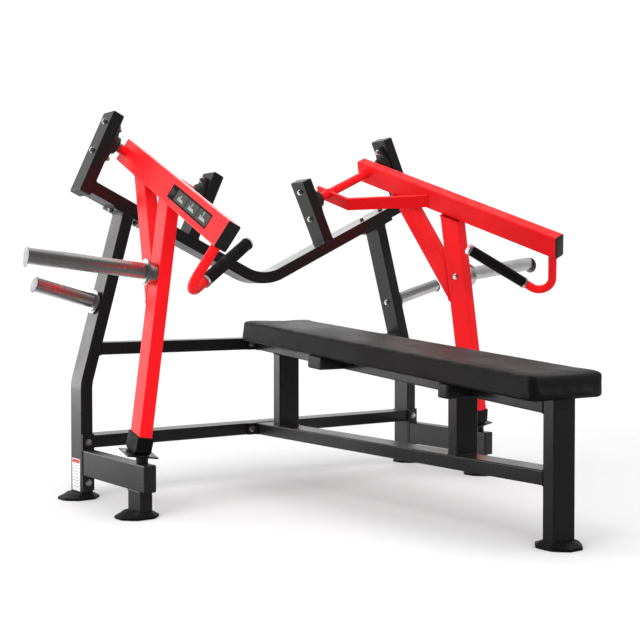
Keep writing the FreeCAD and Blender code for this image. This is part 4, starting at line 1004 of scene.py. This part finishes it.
def pad_axes():
    """Middle of the pad's underside, its directions and its sizes."""
    shape = merged("pad_board")
    up = end_plane(shape, Z)[1]
    shape.free()
    along = X.cross(up).normalized()
    if along.y < 0:
        along.negate()
    cloud = node_points("bench_pad")
    spans = []
    for axis in (X, along, up):
        reach = [p.dot(axis) for p in cloud]
        spans.append((min(reach), max(reach)))
    foot = sum((axis * ((low + high) / 2) for axis, (low, high) in zip((X, along), spans)),
               up * spans[2][0])
    return foot, along, up, [high - low for low, high in spans]


def pad_blank(foot, along, up, sizes):
    """Rounded block of foam in its cover, before it is pressed out."""
    wide, length, thick = sizes
    shape = bmesh.new()
    bmesh.ops.create_cube(shape, size=1)
    for vertex in shape.verts:
        vertex.co = Vector((vertex.co.x * (wide - 2 * PAD_SIDE_PULL),
                            vertex.co.y * (length - 2 * PAD_SIDE_PULL),
                            (vertex.co.z + 0.5) * (thick - PAD_SIDE_PULL)))
    upright_edges = [e for e in shape.edges if abs((e.verts[0].co - e.verts[1].co).z) > 1 * MM]
    bmesh.ops.bevel(shape, geom=upright_edges, offset=PAD_CORNER, segments=8, profile=0.5,
                    affect="EDGES")
    top = [e for e in shape.edges if min(v.co.z for v in e.verts) > thick * 0.8]
    bmesh.ops.bevel(shape, geom=top, offset=PAD_TOP_EDGE, segments=5, profile=0.5,
                    affect="EDGES")
    bottom = [e for e in shape.edges if max(v.co.z for v in e.verts) < 1 * MM]
    bmesh.ops.bevel(shape, geom=bottom, offset=PAD_LOW_EDGE, segments=4, profile=0.5,
                    affect="EDGES")
    turn = Matrix((X, along, up)).transposed().to_4x4()
    shape.transform(Matrix.Translation(foot) @ turn)
    mesh = bpy.data.meshes.new("bench_cushion")
    shape.to_mesh(mesh)
    shape.free()
    return placed("bench_cushion", mesh)


def applied(thing):
    """Replaces an object's mesh by what its modifiers make of it."""
    graph = bpy.context.evaluated_depsgraph_get()
    thing.data = bpy.data.meshes.new_from_object(thing.evaluated_get(graph))
    thing.modifiers.clear()


def pressed_out(thing, rest, foot, up):
    """Where the cover's points come to rest when the foam presses it out."""
    held = thing.vertex_groups.new(name="held")
    held.add([i for i, p in enumerate(rest) if (Vector(p) - foot).dot(up) < HELD_HEIGHT],
             1.0, "REPLACE")
    cloth = thing.modifiers.new("cover", "CLOTH")
    cloth.settings.use_pressure = True
    cloth.settings.uniform_pressure_force = 4
    cloth.settings.effector_weights.gravity = 0
    cloth.settings.vertex_group_mass = "held"
    cloth.settings.tension_stiffness = 25
    cloth.settings.compression_stiffness = 25
    cloth.settings.bending_stiffness = 2
    cloth.point_cache.frame_start, cloth.point_cache.frame_end = 1, CLOTH_STEPS
    scene = bpy.context.scene
    for step in range(1, CLOTH_STEPS + 1):
        scene.frame_set(step)
    applied(thing)
    moved = np.array([v.co for v in thing.data.vertices]) - rest
    length = np.linalg.norm(moved, axis=1, keepdims=True)
    moved *= np.minimum(1, PAD_CROWN / np.maximum(length, 1e-9))
    scene.frame_set(1)
    return rest + moved


def tucked_under(points, foot, along, up, sizes):
    """The cover's points with its lower edge drawn in under the board and puckered."""
    origin, forward, upward = np.array(foot), np.array(along), np.array(up)
    local = points - origin
    run, side, height = local @ forward, local[:, 0], local @ upward
    wide, span, thick = sizes
    edge = np.clip((np.abs(side) / (wide / 2) - 0.9) / 0.1, 0, 1)
    end = np.clip((np.abs(run) / (span / 2) - 0.98) / 0.02, 0, 1)
    low = np.clip(1 - height / (thick * 0.45), 0, 1)
    ripple = np.array([noise.noise(Vector((p[1] * PUCKERS_PER_METRE, p[0] * PUCKERS_PER_METRE,
                                           3.1))) for p in points])
    pull = TUCK * low ** 1.5 + PUCKER * low * ripple
    shift = np.sign(run) * end * pull
    local[:, 0] -= np.sign(side) * edge * pull
    return origin + local - np.outer(shift, forward)


def bench_cushion():
    """The padded bench top: foam under pressure in a cover held down on its board."""
    foot, along, up, sizes = pad_axes()
    thing = pad_blank(foot, along, up, sizes)
    remesh = thing.modifiers.new("even_mesh", "REMESH")
    remesh.mode = "VOXEL"
    remesh.voxel_size = VOXEL
    applied(thing)
    points = np.array([v.co for v in thing.data.vertices])
    points = pressed_out(thing, points, foot, up)
    settled = tucked_under(points, foot, along, up, sizes)
    thing.data.vertices.foreach_set("co", settled.astype(np.float32).ravel())
    smooth = thing.modifiers.new("even_out", "SMOOTH")
    smooth.factor, smooth.iterations = 0.5, 2
    finer = thing.modifiers.new("finer", "SUBSURF")
    finer.levels = finer.render_levels = 1
    applied(thing)
    thing.data.materials.clear()
    thing.data.materials.append(FINISH["upholstery"])
    thing.data.polygons.foreach_set("use_smooth", [True] * len(thing.data.polygons))
    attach(thing, "frame")
    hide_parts("bench_pad")


bench_cushion()


# -------- decal and label

class Print:
    """Thin sheets laid flat on a surface; places and sizes on it are in millimetres."""

    def __init__(self, pile, centre, right, up, out):
        self.pile, self.centre = pile, centre
        self.right, self.up, self.out = right, up, out

    def at(self, x, y, height=0.0):
        return self.centre + (self.right * x + self.up * y) * MM + self.out * height

    def sheet(self, x, y, wide, tall, corner, low, thick, kind):
        """Sheet with rounded corners."""
        outline = rounded_rectangle(wide / 2, tall / 2, corner)
        points = [self.at(x + dx, y + dy, low + h) for h in (0, thick) for dx, dy in outline]
        self.pile.add(points, stacked(2, len(outline)), kind)

    def ring(self, x, y, radius, width, low, thick, kind):
        """Flat ring."""
        steps = 24
        points = []
        for r, h in ((radius - width, 0), (radius - width, thick), (radius, thick), (radius, 0)):
            points += [self.at(x + r * math.cos(2 * math.pi * k / steps),
                               y + r * math.sin(2 * math.pi * k / steps), low + h)
                       for k in range(steps)]
        faces = []
        for k in range(steps):
            n = (k + 1) % steps
            faces += [(i * steps + k, i * steps + n, (i + 1) * steps + n, (i + 1) * steps + k)
                      for i in range(3)]
        self.pile.add(points, faces, kind)


FILM = 0.35 * MM
INK = 0.5 * FILM
DECAL_START, DECAL_END = 465, 790        # mm along the beam from the pivot
DECAL_TALL = 44
DECAL_HEADER = 46
DECAL_GAP = 5


def arm_decal(word):
    """Generic how-to-use strip: three grey tiles with plain pictograms on a black film."""
    pivot, outward, ahead, above = arm_axes(word)
    pile = Pile()
    strip = Print(pile, pivot + outward * BEAM_HALF, ahead, above, outward)
    strip.sheet((DECAL_START + DECAL_END) / 2, 0, DECAL_END - DECAL_START, DECAL_TALL, 4, 0, FILM, 0)
    tile = (DECAL_END - DECAL_START - DECAL_HEADER - 4 * DECAL_GAP) / 3
    tile_thick = FILM * 0.6
    low = FILM + tile_thick
    for i in range(3):
        x = DECAL_START + DECAL_HEADER + DECAL_GAP + tile / 2 + i * (tile + DECAL_GAP)
        strip.sheet(x, 0, tile, DECAL_TALL - 2 * DECAL_GAP, 2, FILM, tile_thick, 1)
        # A lying figure made of a disc and bars, its arms a little higher on each tile.
        lift = (i - 1) * 4
        strip.sheet(x + 2, -8, 46, 3, 1, low, INK, 2)
        strip.sheet(x + 4, -4, 30, 4, 1.5, low, INK, 2)
        strip.ring(x - 16, -2, 4, 3.2, low, INK, 2)
        strip.sheet(x - 4, 3 + lift / 2, 3, 10 + lift, 1, low, INK, 2)
        strip.ring(x - 4, 8 + lift, 4.5, 1.6, low, INK, 2)
    for k in range(3):
        strip.sheet(DECAL_START + 12 + k * 11, 0, 5, 22 - 5 * k, 1.5, FILM, INK, 1)
    pile.piece(f"{word}_arm_decal", [DECAL_FILM, DECAL_TILE, DECAL_INK], f"{word}_arm", sharp=30)


LABEL_WIDE, LABEL_TALL = 57, 102         # mm
LABEL_HEIGHT = 74 * MM                   # middle, above the floor


def upright_label(word):
    """Plain white maker-neutral label with a red band and grey rules, low on the upright."""
    side = dict(SIDES)[word]
    low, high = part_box(f"{word}_front_post")
    rear_low, rear_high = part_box("lower_cross_tube")
    centre = Vector((high.x if side > 0 else low.x, (rear_low.y + rear_high.y) / 2, LABEL_HEIGHT))
    pile = Pile()
    paper = Print(pile, centre, Y * -side, Z, X * side)
    paper.sheet(0, 0, LABEL_WIDE, LABEL_TALL, 2, 0, FILM, 0)
    paper.sheet(0, LABEL_TALL / 2 - 8, LABEL_WIDE - 4, 11, 1, FILM, INK, 1)
    for k in range(8):
        rule = (LABEL_WIDE - 12) * (1.0 if k % 3 else 0.7)
        paper.sheet(0, LABEL_TALL / 2 - 22 - k * 9.5, rule, 2.2, 0.6, FILM, INK, 2)
    pile.piece(f"{word}_upright_label", [LABEL_PAPER, LABEL_BAND, LABEL_RULE], "frame", sharp=30)


arm_decal("left")
upright_label("left")


# -------- studio

FLOOR_REACH = 14.0
FLOOR_DROP = 0.5 * MM          # just under the feet
WALL_DIM, WALL_BRIGHT = 0.12, 0.80       # backdrop in reflections: front side, and behind
ROOM_LIGHT = 0.80
BACKDROP = 1.05                # a clear white
LOOK_AT = Vector((0, 0, 0.45))
SOFT_BOXES = [  # name, place, width, height, watts, whether reflections show it
    ("over_box", (-0.3, -0.3, 3.6), 3.4, 3.0, 75, False),
    ("left_box", (-3.8, -0.9, 2.2), 2.4, 2.0, 75, False),
    ("front_fill", (-1.6, -4.4, 2.2), 2.2, 1.6, 42, False),
    ("back_fill", (1.6, 3.8, 2.6), 3.0, 2.0, 36, True),
    ("rim_panel", (-2.9, 3.4, 1.1), 2.6, 2.2, 60, True),
]


def studio():
    """Floor, backdrop light, soft boxes and the camera."""
    mesh = bpy.data.meshes.new("studio_floor")
    mesh.from_pydata([(x * FLOOR_REACH, y * FLOOR_REACH, -FLOOR_DROP)
                      for x, y in ((-1, -1), (1, -1), (1, 1), (-1, 1))], [], [(0, 1, 2, 3)])
    mesh.materials.append(studio_floor())
    placed("studio_floor", mesh)

    world = bpy.data.worlds.new("studio")
    bpy.context.scene.world = world
    world.use_nodes = True
    nodes, links = world.node_tree.nodes, world.node_tree.links
    back = nodes["Background"]
    place = nodes.new("ShaderNodeTexCoord").outputs["Generated"]
    facing = nodes.new("ShaderNodeVectorMath")
    facing.operation = "DOT_PRODUCT"
    facing.inputs[1].default_value = tuple(VIEW_AHEAD)
    links.new(place, facing.inputs[0])
    wall = nodes.new("ShaderNodeMapRange")
    wall.interpolation_type = "SMOOTHSTEP"
    for socket, value in (("From Min", -0.35), ("From Max", 0.35), ("To Min", WALL_DIM),
                          ("To Max", WALL_BRIGHT)):
        wall.inputs[socket].default_value = value
    links.new(facing.outputs["Value"], wall.inputs["Value"])
    path = nodes.new("ShaderNodeLightPath")
    # Soft light from all round on matt surfaces, and plain white straight behind the machine.
    strength = wall.outputs["Result"]
    for ray, value in (("Is Diffuse Ray", ROOM_LIGHT), ("Is Camera Ray", BACKDROP)):
        level = nodes.new("ShaderNodeMix")
        level.inputs[3].default_value = value
        links.new(path.outputs[ray], level.inputs[0])
        links.new(strength, level.inputs[2])
        strength = level.outputs[0]
    links.new(strength, back.inputs["Strength"])
    back.inputs["Color"].default_value = (1, 1, 1, 1)

    for name, place, wide, tall, watts, shows in SOFT_BOXES:
        lamp = bpy.data.lights.new(name, "AREA")
        lamp.shape = "RECTANGLE"
        lamp.size, lamp.size_y = wide, tall
        lamp.energy = watts
        holder = placed(name, lamp)
        holder.location = place
        holder.rotation_euler = (LOOK_AT - Vector(place)).to_track_quat("-Z", "Y").to_euler()
        holder.visible_camera = False
        holder.visible_glossy = shows

    camera = placed("camera", bpy.data.cameras.new("camera"))
    camera.data.sensor_width = 36
    camera.data.lens = CAMERA_LENS
    camera.location = CAMERA_PLACE
    camera.rotation_euler = (math.pi / 2 - CAMERA_PITCH, 0, -CAMERA_YAW)
    bpy.context.scene.camera = camera
    bpy.context.scene.view_settings.view_transform = "Standard"


studio()
